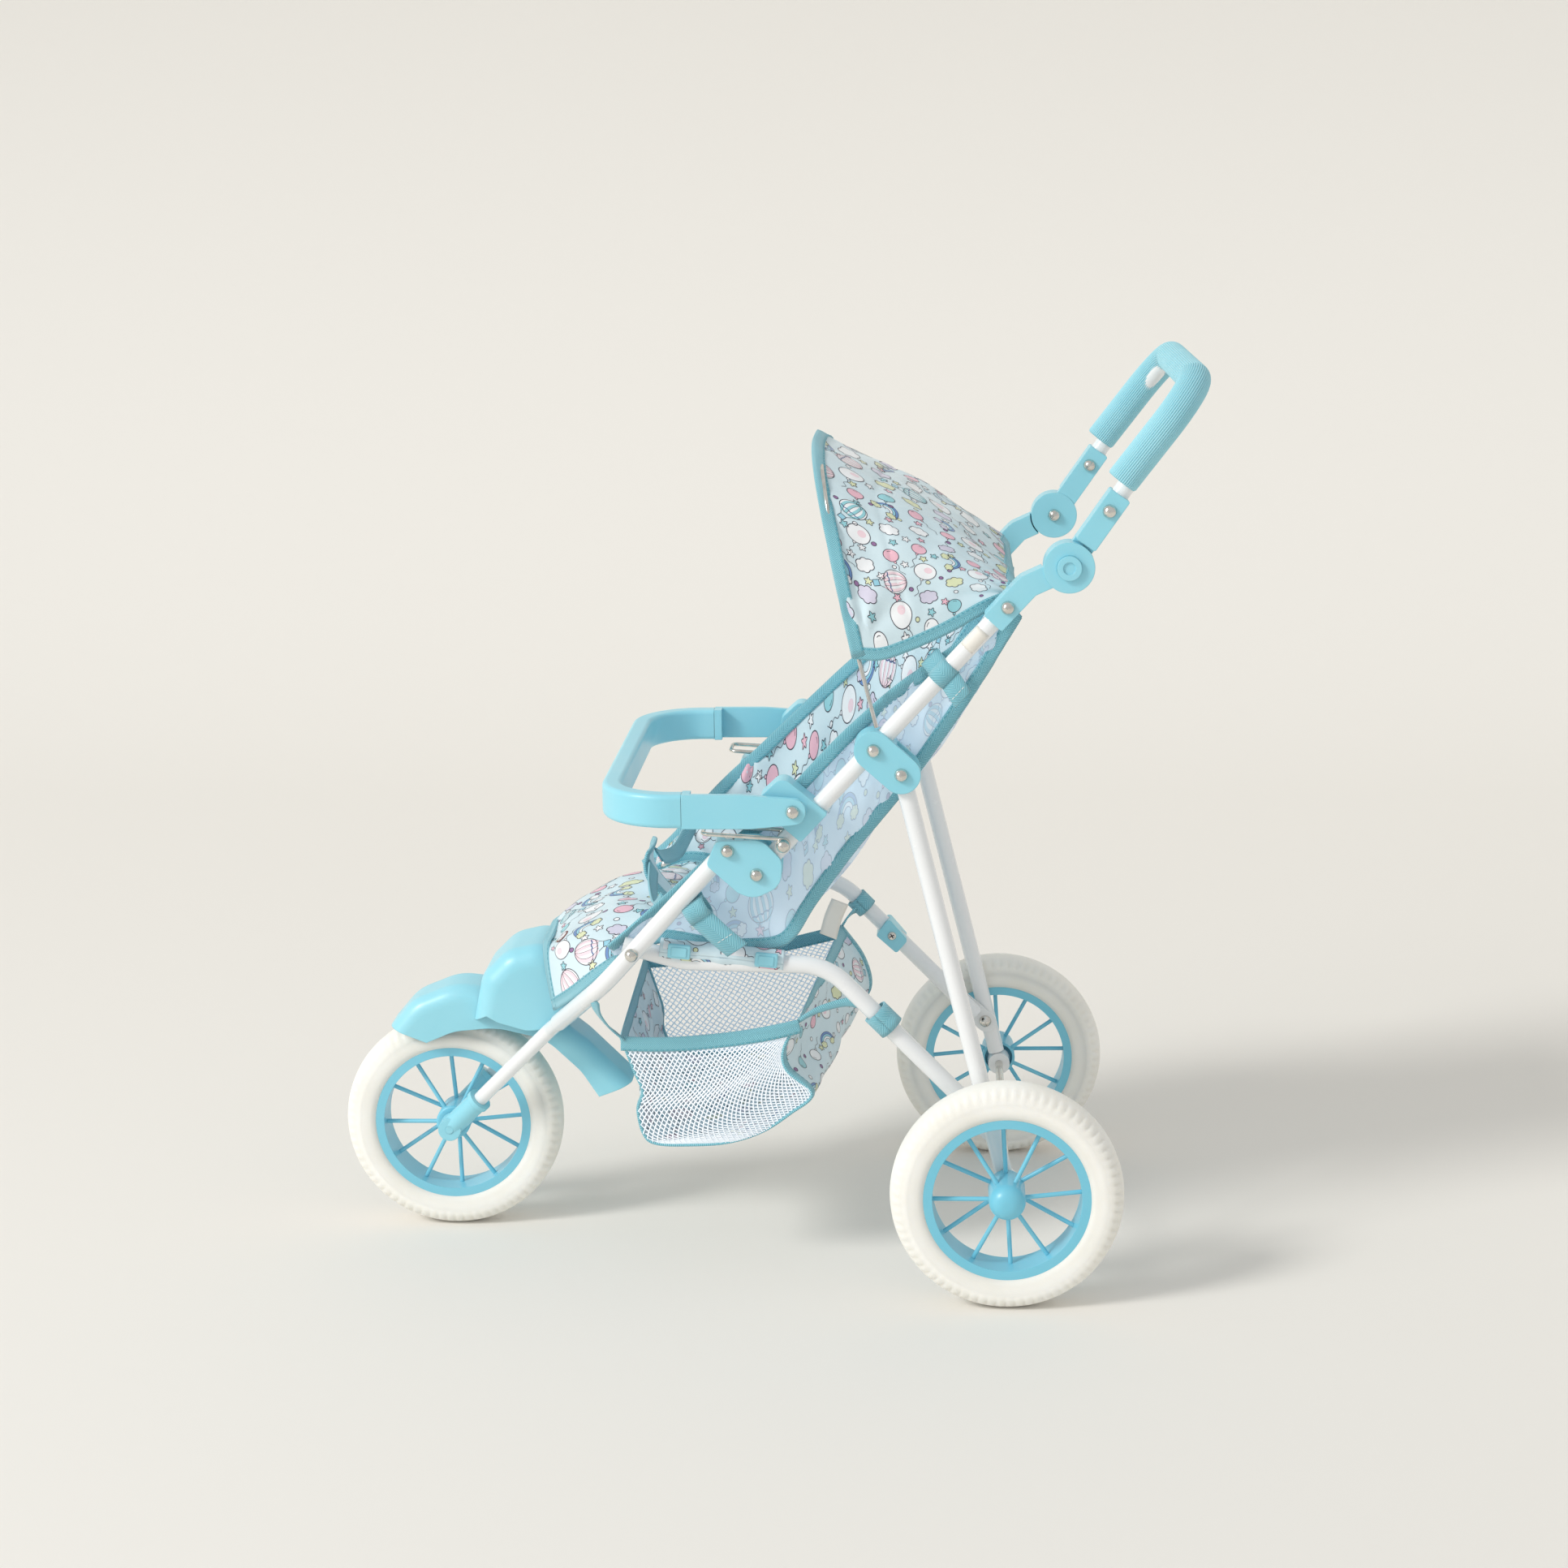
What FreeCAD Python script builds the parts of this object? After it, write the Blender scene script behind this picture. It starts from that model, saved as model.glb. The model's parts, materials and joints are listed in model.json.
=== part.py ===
import FreeCAD, Part
import math
import os

import Sketcher
from FreeCAD import Placement, Rotation, Vector

# A three-wheeled doll jogger, in millimetres.  +Z is up, the front wheel points to -Y and the stroller's own
# left side is +X.  The origin is on the floor, at the centre of the whole object's box.
# Every name ending in _left lies at +X, and every name ending in _right at -X.

SIZES = {
    # wheels
    "wheel_radius": 82.5,
    "tyre_width": 29,
    "tyre_shoulder": 9,
    "tyre_seat_radius": 57.2,
    "rim_width": 26,
    "rim_lip": 2,
    "rim_flange_radius": 62,
    "rim_channel_radius": 57,
    "rim_inner_radius": 52.5,
    "hub_radius": 13,
    "hub_inner_reach": 13,
    "hub_outer_reach": 14,
    "hub_dome_reach": 25,
    "front_hub_reach": 13.5,
    "hub_bore_radius": 3.05,
    "axle_radius": 3,
    "spoke_radius": 1.6,
    "spoke_pairs": 6,
    "spoke_phase": 3,
    "spoke_splay": 8,
    # where the wheels and the two side frames stand
    "rear_track_half": 155,
    "frame_half": 133,
    "link_half": 117,
    "front_axle_y": -237,
    "rear_axle_y": 179,
    "axle_height": 82.5,
    # tubes, wires, plates, rivets and cloth
    "tube_radius": 6.35,
    "tube_wall": 0.8,
    "blade_radius": 5.45,
    "wire_radius": 1.5,
    "bracket_width": 20,
    "bracket_gap": 13.6,
    "rivet_head_radius": 4.8,
    "rivet_shank_radius": 2.5,
    "pivot_hole_radius": 2.55,
    "cloth_thickness": 3,
    # pivots, as y and z in the side view
    "fold_y": 5,
    "fold_z": 311,
    "upper_tube_angle": 47.1,
    "socket_y": -15,
    "socket_z": 328,
    "lower_tube_angle": 48.1,
    "leg_pivot_y": 106,
    "leg_pivot_z": 382,
    "link_pivot_y": -84,
    "link_pivot_z": 252,
    "link_end_y": 168,
    "link_end_z": 119,
    "armrest_pivot_y": 31,
    "armrest_pivot_z": 358,
    "lock_pivot_y": 24,
    "lock_pivot_z": 333,
    # handle and bumper
    "disc_y": 221,
    "disc_z": 526,
    "disc_radius": 17.5,
    "arm_width": 17,
    "crown_y": 307.8,
    "crown_z": 650,
    "grip_radius": 11.7,
    "grip_start": 60,
    "grip_bore_radius": 6.45,
    "button_radius": 8.5,
    "button_clearance": 0.05,
    "bumper_height": 24,
    "bumper_front_y": -106,
    "bumper_half": 152,
    "bumper_thickness": 14,
    "bumper_cheek": 4.6,
    "bumper_relief_y": -40,
    # fender and footrest
    "fender_width": 48,
    "fender_wall": 1.6,
    "fender_rounding": 12,
    "footrest_width": 75,
    "footrest_wall": 2,
    "footrest_rounding": 15,
}

# The seat sling, the canopy and the basket, as side-view outlines (y, z).
SEAT_BACK_PATH = [(187, 484), (117, 377), (58, 296)]
SEAT_BOTTOM_PATH = [(52, 287), (14, 245), (-72, 256), (-119, 229.4)]
LEG_FLAP_PATH = [(-122, 227.5), (-146, 209), (-158, 190)]
SEAT_SIDE_OUTLINE = [(-70, 262, 0), (-70, 270, 0), (-30, 297, 6), (0, 288, 10), (38, 322, 10), (170, 466, 1),
                     (176, 466, 1), (112, 378, 10), (28, 253, 8)]

# The canopy's arches, front to rear: the hem (y, z), the crown (y, z) and half the width.
CANOPY_ARCHES = [((70, 466), (44, 602), 127), ((108, 465), (95, 575), 124), ((165, 492), (160, 541), 120),
                 ((186, 500), (184, 512), 114)]
# One side of an arch, from the hem to the crown, as shares of the half width and of the height.
ARCH_POLES = [(1, 0), (1, 0.5), (0.96, 0.96), (0.45, 0.99)]

SIDES = {"left": 1, "right": -1}

doc = FreeCAD.newDocument("doll_stroller")
sizes = doc.addObject("Spreadsheet::Sheet", "Sizes")
for row, (alias, value) in enumerate(SIZES.items(), start=1):
    sizes.set("A%d" % row, alias)
    sizes.set("B%d" % row, str(value))
    sizes.setAlias("B%d" % row, alias)
doc.recompute()

nodes = []


def size(expression):
    """The value of an expression over the sheet's aliases."""
    return float(sizes.evalExpression(expression))


def cell(expression):
    """The same expression, as a document object's property refers to it."""
    words = expression.replace("(", "( ").replace(")", " )").split()
    return " ".join("Sizes." + word if word in SIZES else word for word in words)


def name_node(item, label):
    """Give a finished sub-part its name, and list it for export."""
    item.Label = label
    nodes.append(item)
    return item


# ---------------------------------------------------------------- points in the side view

def side_point(y, z, x=0.0):
    return Vector(x, y, z)


def on_upper_tube(along, across=0.0):
    """A side-view point along the upper tube from the fold pivot, and across it towards the front."""
    angle = math.radians(size("upper_tube_angle"))
    y = size("fold_y") + along * math.cos(angle) - across * math.sin(angle)
    z = size("fold_z") + along * math.sin(angle) + across * math.cos(angle)
    return y, z


def on_lower_tube(along):
    """A side-view point down the front tube from its socket rivet."""
    angle = math.radians(size("lower_tube_angle"))
    return size("socket_y") - along * math.cos(angle), size("socket_z") - along * math.sin(angle)


# ---------------------------------------------------------------- paths and outlines

def corner_arc(before, corner, after, radius):
    """The start, middle and end of the arc that rounds a corner."""
    back = (before - corner).normalize()
    ahead = (after - corner).normalize()
    half_angle = back.getAngle(ahead) / 2
    reach = radius / math.tan(half_angle)
    centre = corner + (back + ahead).normalize() * (radius / math.sin(half_angle))
    middle = centre + (corner - centre).normalize() * radius
    return corner + back * reach, middle, corner + ahead * reach


def rounded_curves(points, closed):
    """Straight lines with tangent arcs; each point is (Vector, corner radius)."""
    count = len(points)
    curves = []
    corners = range(count) if closed else range(1, count - 1)
    ends = {}
    for index in corners:
        place, radius = points[index]
        if radius:
            start, middle, end = corner_arc(points[index - 1][0], place, points[(index + 1) % count][0], radius)
            curves.append(Part.Arc(start, middle, end))
            ends[index] = (start, end)
    for index in range(count if closed else count - 1):
        following = (index + 1) % count
        start = ends[index][1] if index in ends else points[index][0]
        end = ends[following][0] if following in ends else points[following][0]
        if start.distanceToPoint(end) > 0.001:
            curves.append(Part.LineSegment(start, end))
    return curves


def path_wire(points, radius):
    """An open wire through the points, its inner corners rounded."""
    curves = rounded_curves([(point, radius) for point in points], closed=False)
    return Part.Wire(Part.__sortEdges__([curve.toShape() for curve in curves]))


def helper(kind, name):
    """An object that only feeds another one."""
    return doc.addObject(kind, name)


def spine(name, points, radius):
    item = helper("Part::Feature", name)
    item.Shape = path_wire(points, radius)
    return item


def sweep(name, route, radius_expression):
    """A round bar along a route."""
    first = route.Shape.OrderedEdges[0]
    start = route.Shape.OrderedVertexes[0].Point
    heading = first.tangentAt(first.FirstParameter)
    if first.valueAt(first.FirstParameter).distanceToPoint(start) > 0.001:
        heading = first.tangentAt(first.LastParameter) * -1
    section = helper("Part::Circle", name + "_section")
    section.setExpression("Radius", cell(radius_expression))
    section.Placement = Placement(start, Rotation(Vector(0, 0, 1), heading))
    bar = helper("Part::Sweep", name + "_sweep")
    bar.Sections = [section]
    bar.Spine = (route, ["Edge%d" % (number + 1) for number in range(len(route.Shape.Edges))])
    bar.Solid = True
    bar.Frenet = False
    return bar


def cut(name, base, tool):
    item = helper("Part::Cut", name)
    item.Base = base
    item.Tool = tool
    return item


def round_bar(name, start, end, radius_expression):
    """A cylinder from one point to another."""
    bar = helper("Part::Cylinder", name)
    bar.setExpression("Radius", cell(radius_expression))
    bar.Height = (end - start).Length
    bar.Placement = Placement(start, Rotation(Vector(0, 0, 1), end - start))
    return bar


def cross_bar(name, y, z, x_from, x_to, radius_expression):
    """A cylinder across the stroller, along X."""
    return round_bar(name, side_point(y, z, x_from), side_point(y, z, x_to), radius_expression)


def tube(label, points, bend, outer="tube_radius", inner="tube_radius - tube_wall", holes=()):
    """A bent tube, drilled through across the stroller at each (y, z) in holes."""
    route = spine(label + "_route", points, bend)
    item = cut(label + "_hollow", sweep(label + "_outer", route, outer), sweep(label + "_inner", route, inner))
    reach = 12
    for number, (y, z) in enumerate(holes):
        x = points[0].x
        drill = cross_bar("%s_hole%d" % (label, number), y, z, x - reach, x + reach, "pivot_hole_radius")
        item = cut("%s_drilled%d" % (label, number), item, drill)
    return name_node(item, label)


def fuse(name, items):
    item = helper("Part::MultiFuse", name)
    item.Shapes = items
    return item


def mirror_across(label, original):
    """The right-hand twin of a left-hand piece."""
    item = helper("Part::Mirroring", label + "_mirrored")
    item.Source = original
    item.Base = Vector(0, 0, 0)
    item.Normal = Vector(1, 0, 0)
    return name_node(item, label)


def group(label, items):
    """Separate solids that share one node."""
    item = helper("Part::Compound", label + "_group")
    item.Links = items
    return name_node(item, label)


# ---------------------------------------------------------------- PartDesign bodies

def new_body(label, place=Vector(0, 0, 0)):
    body = doc.addObject("PartDesign::Body", label + "_body")
    body.AllowCompound = True
    body.Placement = Placement(place, Rotation())
    return body


def origin_item(body, role):
    return next(item for item in body.Origin.OriginFeatures if item.Role == role)


def outline_sketch(body, name, role, loops, circles=()):
    """Loops of (u, v, corner radius), and circles of (u, v, radius cell), on one of the body's planes."""
    sketch = body.newObject("Sketcher::SketchObject", name)
    sketch.AttachmentSupport = [(origin_item(body, role), "")]
    sketch.MapMode = "FlatFace"
    for loop in loops:
        for curve in rounded_curves([(Vector(u, v, 0), radius) for u, v, radius in loop], closed=True):
            sketch.addGeometry(curve)
    for u, v, radius in circles:
        number = sketch.addGeometry(Part.Circle(Vector(u, v, 0), Vector(0, 0, 1), size(radius)))
        held = sketch.addConstraint(Sketcher.Constraint("Radius", number, size(radius)))
        sketch.setExpression("Constraints[%d]" % held, cell(radius))
    return sketch


def pad_across(body, sketch, width):
    """Pad a side-view sketch both ways, so that the plate is centred on the body's own x = 0."""
    pad = body.newObject("PartDesign::Pad", sketch.Name + "_pad")
    pad.Profile = sketch
    pad.SideType = "Symmetric"
    pad.setExpression("Length", cell(width))
    return pad


def pocket_across(body, sketch, width):
    """Cut a side-view sketch both ways, and make sure that it did cut."""
    doc.recompute()
    before = body.Shape.Volume
    pocket = body.newObject("PartDesign::Pocket", sketch.Name + "_pocket")
    pocket.Profile = sketch
    pocket.SideType = "Symmetric"
    pocket.setExpression("Length", cell(width))
    doc.recompute()
    assert body.Shape.Volume < before - 1, "%s cut nothing" % pocket.Name
    return pocket


def bore(body, name, start, end, radius_expression):
    """A round hole through a body, from one of its own points to another."""
    drill = body.newObject("PartDesign::SubtractiveCylinder", name)
    drill.setExpression("Radius", cell(radius_expression))
    drill.Height = (end - start).Length
    drill.Placement = Placement(start, Rotation(Vector(0, 0, 1), end - start))
    return drill


def side_plate(label, x, width, loops, circles=()):
    """A plate or block with its outline in the side view."""
    body = new_body(label, Vector(x, 0, 0))
    pad_across(body, outline_sketch(body, label + "_outline", "YZ_Plane", loops, circles), width)
    return body


def obround(first, second, radius):
    """The outline of two equal circles and the straight sides between them."""
    along = Vector(second[0] - first[0], second[1] - first[1], 0).normalize()
    across = Vector(-along.y, along.x, 0)
    near = Vector(first[0], first[1], 0) - along * radius
    far = Vector(second[0], second[1], 0) + along * radius
    corner = radius * 0.999
    places = [near + across * radius, far + across * radius, far - across * radius, near - across * radius]
    return [(place.x, place.y, corner) for place in places]


def revolve_about_x(body, sketch, feature="Revolution"):
    turn = body.newObject("PartDesign::" + feature, sketch.Name + "_turned")
    turn.Profile = sketch
    turn.ReferenceAxis = (sketch, ["H_Axis"])
    turn.Angle = 360
    return turn


# ---------------------------------------------------------------- rivets

def dome_rivet(name, y, z, x_from, x_to, heads=(True, True)):
    """A rivet across the stroller: a shank with a domed head at each chosen end."""
    pieces = [cross_bar(name + "_shank", y, z, x_from, x_to, "rivet_shank_radius")]
    for number, (wanted, x, outward) in enumerate(zip(heads, (x_from, x_to), (-1, 1))):
        if not wanted:
            continue
        ball = helper("Part::Sphere", "%s_ball%d" % (name, number))
        ball.setExpression("Radius", cell("rivet_head_radius"))
        ball.Angle1 = 0
        ball.Angle2 = 90
        ball.Placement = Placement(side_point(y, z, x), Rotation(Vector(0, 0, 1), Vector(outward, 0, 0)))
        pieces.append(ball)
    return fuse(name, pieces)


# ---------------------------------------------------------------- wheels

def tyre(label, place):
    """A solid foam tyre with rounded shoulders, seated between the rim's flanges."""
    half = size("tyre_width / 2")
    seat_half = size("rim_width / 2 - rim_lip") - 0.1
    seat = size("tyre_seat_radius")
    clear_of_lip = size("rim_flange_radius") + 0.2
    top = size("wheel_radius")
    shoulder = size("tyre_shoulder")
    profile = [(-seat_half, seat, 0), (seat_half, seat, 0), (seat_half, clear_of_lip, 0), (half, clear_of_lip, 0),
               (half, top, shoulder), (-half, top, shoulder), (-half, clear_of_lip, 0),
               (-seat_half, clear_of_lip, 0)]
    body = new_body(label, place)
    revolve_about_x(body, outline_sketch(body, label + "_profile", "XY_Plane", [profile]))
    return name_node(body, label)


def wheel_moulding(wheel, side, place, outward, hub_profile):
    """Rim, hub and two rings of thin spokes that meet them; outward is the hub cap's side."""
    label = wheel + "_wheel_moulding" + side
    half = size("rim_width / 2")
    lip = size("rim_lip")
    flange, channel, inner = size("rim_flange_radius"), size("rim_channel_radius"), size("rim_inner_radius")
    profile = [(-half, inner, 0), (half, inner, 0), (half, flange, 0), (half - lip, flange, 0),
               (half - lip, channel, 0), (lip - half, channel, 0), (lip - half, flange, 0), (-half, flange, 0)]
    rim = new_body(label + "_rim", place)
    revolve_about_x(rim, outline_sketch(rim, label + "_rim_profile", "XY_Plane", [profile]))
    hub = new_body(label + "_hub", place)
    revolve_about_x(hub, outline_sketch(hub, label + "_hub_profile", "XY_Plane", [hub_profile]))
    ends = fuse(label + "_ends", [rim, hub])
    spokes = []
    pairs = round(size("spoke_pairs"))
    for number in range(2 * pairs):
        turn = math.radians(180 / pairs * number + size("spoke_phase"))
        across = Vector(0, math.cos(turn), math.sin(turn))
        hub_x = size("spoke_splay") * outward * (-1) ** number
        start = place + across * (size("hub_radius") - 1.5) + Vector(hub_x, 0, 0)
        end = place + across * (inner + 1) + Vector(hub_x / 4, 0, 0)
        name = "%s_spoke%d" % (label, number)
        spokes.append(cut(name + "_trimmed", round_bar(name, start, end, "spoke_radius"), ends))
    name_node(rim, wheel + "_wheel_rim" + side)
    group(label, [hub] + spokes)


def capped_hub(outward):
    """A rear hub: open and hollow on the frame's side, domed on the outside."""
    bore_radius, outer = size("hub_bore_radius"), size("hub_radius")
    inner_x, outer_x, dome_x = size("hub_inner_reach"), size("hub_outer_reach"), size("hub_dome_reach")
    blind = 17
    recess_floor, recess_in, recess_out = 4, 5.5, 11
    profile = [(-inner_x, bore_radius, 0), (blind, bore_radius, 0), (blind, 0, 0), (dome_x, 0, 0),
               (dome_x, outer, 10.8), (outer_x - 4, outer, 0), (-inner_x, outer, 0), (-inner_x, recess_out, 0),
               (-recess_floor, recess_out, 0), (-recess_floor, recess_in, 0), (-inner_x, recess_in, 0)]
    return [(u * outward, v, radius) for u, v, radius in profile]


def open_hub():
    """The front hub: a plain barrel between the two fork ends."""
    reach, bore_radius, outer = size("front_hub_reach"), size("hub_bore_radius"), size("hub_radius")
    return [(-reach, bore_radius, 0), (reach, bore_radius, 0), (reach, outer, 2), (-reach, outer, 2)]


def make_wheels():
    height = size("axle_height")
    front = Vector(0, size("front_axle_y"), height)
    tyre("front_tyre", front)
    wheel_moulding("front", "", front, 1, open_hub())
    for name, side in SIDES.items():
        place = Vector(side * size("rear_track_half"), size("rear_axle_y"), height)
        tyre("rear_tyre_" + name, place)
        wheel_moulding("rear", "_" + name, place, side, capped_hub(side))


# ---------------------------------------------------------------- front frame

def blade_line():
    """The front tube's three-dimensional line: down the side, in under the seat, then down the fork."""
    x = size("frame_half")
    top = side_point(*on_lower_tube(-8), x)
    bend = side_point(-105, 228, x)
    knee = Vector(44, -157, 166)
    foot = Vector(24, -226, 93)
    return top, bend, knee, foot


def mirrored(point, side):
    return Vector(point.x * side, point.y, point.z)


def make_front_frame():
    top, bend, knee, foot = blade_line()
    overlap_start = bend + (knee - bend) * 0.68
    tube_end = bend + (knee - bend) * 0.82
    axle_y, axle_z = size("front_axle_y"), size("axle_height")
    holes = [(size("link_pivot_y"), size("link_pivot_z"))]
    for name, side in SIDES.items():
        tube("front_tube_" + name, [mirrored(p, side) for p in (top, bend, tube_end)], 40, holes=holes)
        tube("fork_blade_" + name, [mirrored(p, side) for p in (overlap_start, knee, foot)], 18,
             outer="blade_radius", inner="blade_radius - tube_wall")
    mirror_across("fork_end_right", make_fork_end(knee, foot))
    axle = cross_bar("front_axle_rod", axle_y, axle_z, -30, 30, "axle_radius")
    name_node(axle, "front_axle")


def make_fork_end(knee, foot):
    """The moulded socket that joins the left fork blade to the axle."""
    heading = (foot - knee).normalize()
    mouth = foot - heading * 18
    low = Vector(22, size("front_axle_y"), size("axle_height"))
    sleeve = round_bar("fork_end_sleeve", mouth, low, "blade_radius + 2.6")
    collar = round_bar("fork_end_collar", mouth - heading, mouth + heading * 3, "blade_radius + 3.8")
    eye = cross_bar("fork_end_eye", low.y, low.z, 14.4, 29.6, "blade_radius + 3.1")
    socket = round_bar("fork_end_socket", mouth - heading * 5, foot, "blade_radius + 0.05")
    drill = cross_bar("fork_end_bore", low.y, low.z, 10, 35, "axle_radius")
    solid = fuse("fork_end_solid", [sleeve, collar, eye])
    return name_node(cut("fork_end_drilled", cut("fork_end_socketed", solid, socket), drill), "fork_end_left")


def chain_distance(corners, place):
    """How far a point is from a chain of side-view corners."""
    chain = Part.makePolygon([side_point(y, z) for y, z, _ in corners])
    return chain.distToShape(Part.Vertex(side_point(place.y, place.z)))[0]


def arched_solid(label, upper, lower, width, rounding):
    """A side-view outline drawn out across the stroller, with its long upper edges rounded over."""
    body = side_plate(label, 0, width, [upper + lower])
    doc.recompute()
    half = body.Shape.BoundBox.XMax
    closing = [upper[-1]] + lower + [upper[0]]
    chosen = []
    for number, edge in enumerate(body.Shape.Edges, start=1):
        middle = edge.CenterOfMass
        along_side = edge.BoundBox.XLength < 0.01 and abs(abs(middle.x) - half) < 0.01
        if along_side and chain_distance(upper, middle) < chain_distance(closing, middle):
            chosen.append((number, rounding, rounding))
    fillet = helper("Part::Fillet", label + "_rounded")
    fillet.Base = body
    fillet.Edges = chosen
    return fillet


def make_fender():
    """A mudguard over the front wheel: arched across, with side skirts, and open at both ends."""
    top = [(-281, 160, 0), (-264, 180, 34), (-232, 193, 40), (-180, 187, 50), (-134, 150, 60), (-100, 116, 0)]
    skirt = [(-124, 107, 0), (-137, 127, 40), (-163, 152, 40), (-200, 161, 60), (-232, 158, 40), (-253, 149, 0)]
    inner_top = [(-286, 154, 0), (-263.2, 178, 32), (-231.8, 191.2, 38), (-180.8, 185.3, 48), (-134.9, 148, 58),
                 (-92, 106, 0)]
    below = [(-124, 90, 0), (-170, 130, 0), (-230, 130, 0), (-262, 130, 0)]
    shell = arched_solid("fender_shell", top, skirt, "fender_width", size("fender_rounding"))
    hollow = arched_solid("fender_hollow", inner_top, below, "fender_width - 2 * fender_wall",
                          size("fender_rounding - fender_wall"))
    return name_node(cut("fender", shell, hollow), "front_fender")


def make_footrest():
    """A domed saddle over the fender, hollow below, that the doll's feet rest on."""
    top = [(-216, 168, 0), (-209, 203, 20), (-190, 222, 26), (-168, 227, 24), (-151, 224, 16), (-139, 178, 0)]
    base = [(-150, 169, 8), (-172, 162, 26), (-196, 169, 12), (-205, 174, 2)]
    inner_top = [(-217, 150, 0), (-207, 202, 18), (-189, 220, 24), (-168, 225, 22), (-152.6, 222.4, 14),
                 (-134, 150, 0)]
    below = []
    shell = arched_solid("footrest_shell", top, base, "footrest_width", size("footrest_rounding"))
    hollow = arched_solid("footrest_hollow", inner_top, below, "footrest_width - 2 * footrest_wall",
                          size("footrest_rounding - footrest_wall"))
    channel = [(-226, 150, 0), (-226, 195, 0), (-198, 195, 0), (-198, 150, 0)]
    slot = side_plate("footrest_channel", 0, "fender_width + 0.6", [channel])
    item = cut("footrest_slotted", cut("footrest_saddle", shell, hollow), slot)
    return name_node(item, "footrest")


def make_hinge_brackets():
    """A two-cheeked housing on the front tube's top end, which carries the fold pivot."""
    outline = [(-30, 318, 4), (-23, 335, 6), (9, 336, 14), (23, 321, 10), (22, 303, 14), (3, 293.5, 16),
               (-8, 298, 8)]
    for name, side in SIDES.items():
        label = "hinge_bracket_" + name
        body = new_body(label, Vector(side * size("frame_half"), 0, 0))
        pad_across(body, outline_sketch(body, label + "_outline", "YZ_Plane", [outline]), "bracket_width")
        gap = [(-9, 280, 0), (-9, 322, 6), (2, 350, 0), (40, 350, 0), (40, 280, 0)]
        pocket_across(body, outline_sketch(body, label + "_gap", "YZ_Plane", [gap]), "bracket_gap")
        bore(body, label + "_socket", side_point(*on_lower_tube(-8.5)), side_point(*on_lower_tube(60)),
             "tube_radius + 0.02")
        name_node(body, label)


# ---------------------------------------------------------------- upper frame

def make_upper_tubes():
    for name, side in SIDES.items():
        x = side * size("frame_half")
        start = side_point(*on_upper_tube(-7), x)
        end = side_point(*on_upper_tube(272), x)
        holes = [on_upper_tube(0)]
        tube("upper_tube_" + name, [start, end], 1, holes=holes)


def make_armrest_brackets():
    """The saddle block on each upper tube, which the bumper bar turns on."""
    corners = [on_upper_tube(38, -7), on_upper_tube(66, -7), on_upper_tube(64, 34), on_upper_tube(37, 36)]
    outline = [(y, z, radius) for (y, z), radius in zip(corners, (2, 2, 8, 8))]
    for name, side in SIDES.items():
        label = "armrest_bracket_" + name
        body = new_body(label, Vector(side * size("frame_half"), 0, 0))
        pad_across(body, outline_sketch(body, label + "_outline", "YZ_Plane", [outline]), "bracket_width - 1")
        bore(body, label + "_bore", side_point(*on_upper_tube(30)), side_point(*on_upper_tube(75)),
             "tube_radius + 0.02")
        name_node(body, label)


def make_leg_brackets():
    """Two cheeks and a collar that clamp the upper tube, with the rear leg's pivot below it."""
    pivot = (size("leg_pivot_y"), size("leg_pivot_z"))
    rivet = on_upper_tube(120.3)
    outline = obround(rivet, pivot, 13.5)
    for name, side in SIDES.items():
        label = "leg_bracket_" + name
        body = new_body(label, Vector(side * size("frame_half"), 0, 0))
        pad_across(body, outline_sketch(body, label + "_outline", "YZ_Plane", [outline]), "bracket_width")
        corners = [on_upper_tube(90, -9.5), on_upper_tube(150, -9.5), on_upper_tube(150, -60),
                   on_upper_tube(90, -60)]
        gap = [(y, z, 0) for y, z in corners]
        pocket_across(body, outline_sketch(body, label + "_gap", "YZ_Plane", [gap]), "bracket_gap")
        bore(body, label + "_bore", side_point(*on_upper_tube(95)), side_point(*on_upper_tube(150)),
             "tube_radius + 0.02")
        name_node(body, label)


def disc_cheek(body, label, inward):
    """Cut away the half of a disc joint that the other arm fills."""
    doc.recompute()
    before = body.Shape.Volume
    cheek = body.newObject("PartDesign::SubtractiveCylinder", label + "_cheek")
    cheek.setExpression("Radius", cell("disc_radius + 1"))
    cheek.Height = 30
    start = 0.15 * inward
    cheek.Placement = Placement(side_point(size("disc_y"), size("disc_z"), -start),
                                Rotation(Vector(0, 0, 1), Vector(inward, 0, 0)))
    doc.recompute()
    assert body.Shape.Volume < before - 1, "%s cut nothing" % cheek.Name


def disc_outline():
    """A circle as an outline of two half turns would be: an obround whose centres nearly meet."""
    return obround((size("disc_y"), size("disc_z")), (size("disc_y") + 0.02, size("disc_z")),
                   size("disc_radius"))


def make_lower_arms():
    """The moulded arm on each upper tube, with the outer half of the handle's disc joint."""
    disc = (size("disc_y"), size("disc_z"))
    foot, heel = on_upper_tube(241), on_upper_tube(276)
    for name, side in SIDES.items():
        label = "handle_lower_arm_" + name
        body = new_body(label, Vector(side * size("frame_half"), 0, 0))
        pad_across(body, outline_sketch(body, label + "_arm", "YZ_Plane", [obround(heel, disc, 8)]), "arm_width")
        pad_across(body, outline_sketch(body, label + "_socket", "YZ_Plane",
                                        [bar_outline(foot, heel, 8.3)]), "arm_width")
        pad_across(body, outline_sketch(body, label + "_disc", "YZ_Plane", [disc_outline()]), "arm_width + 3")
        disc_cheek(body, label, -side)
        bore(body, label + "_bore", side_point(*on_upper_tube(238)), side_point(*on_upper_tube(272.5)),
             "tube_radius + 0.02")
        button_seat = side_point(disc[0], disc[1], side * 4)
        bore(body, label + "_button_seat", button_seat, button_seat + Vector(side * 10, 0, 0),
             "button_radius + button_clearance")
        name_node(body, label)


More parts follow.
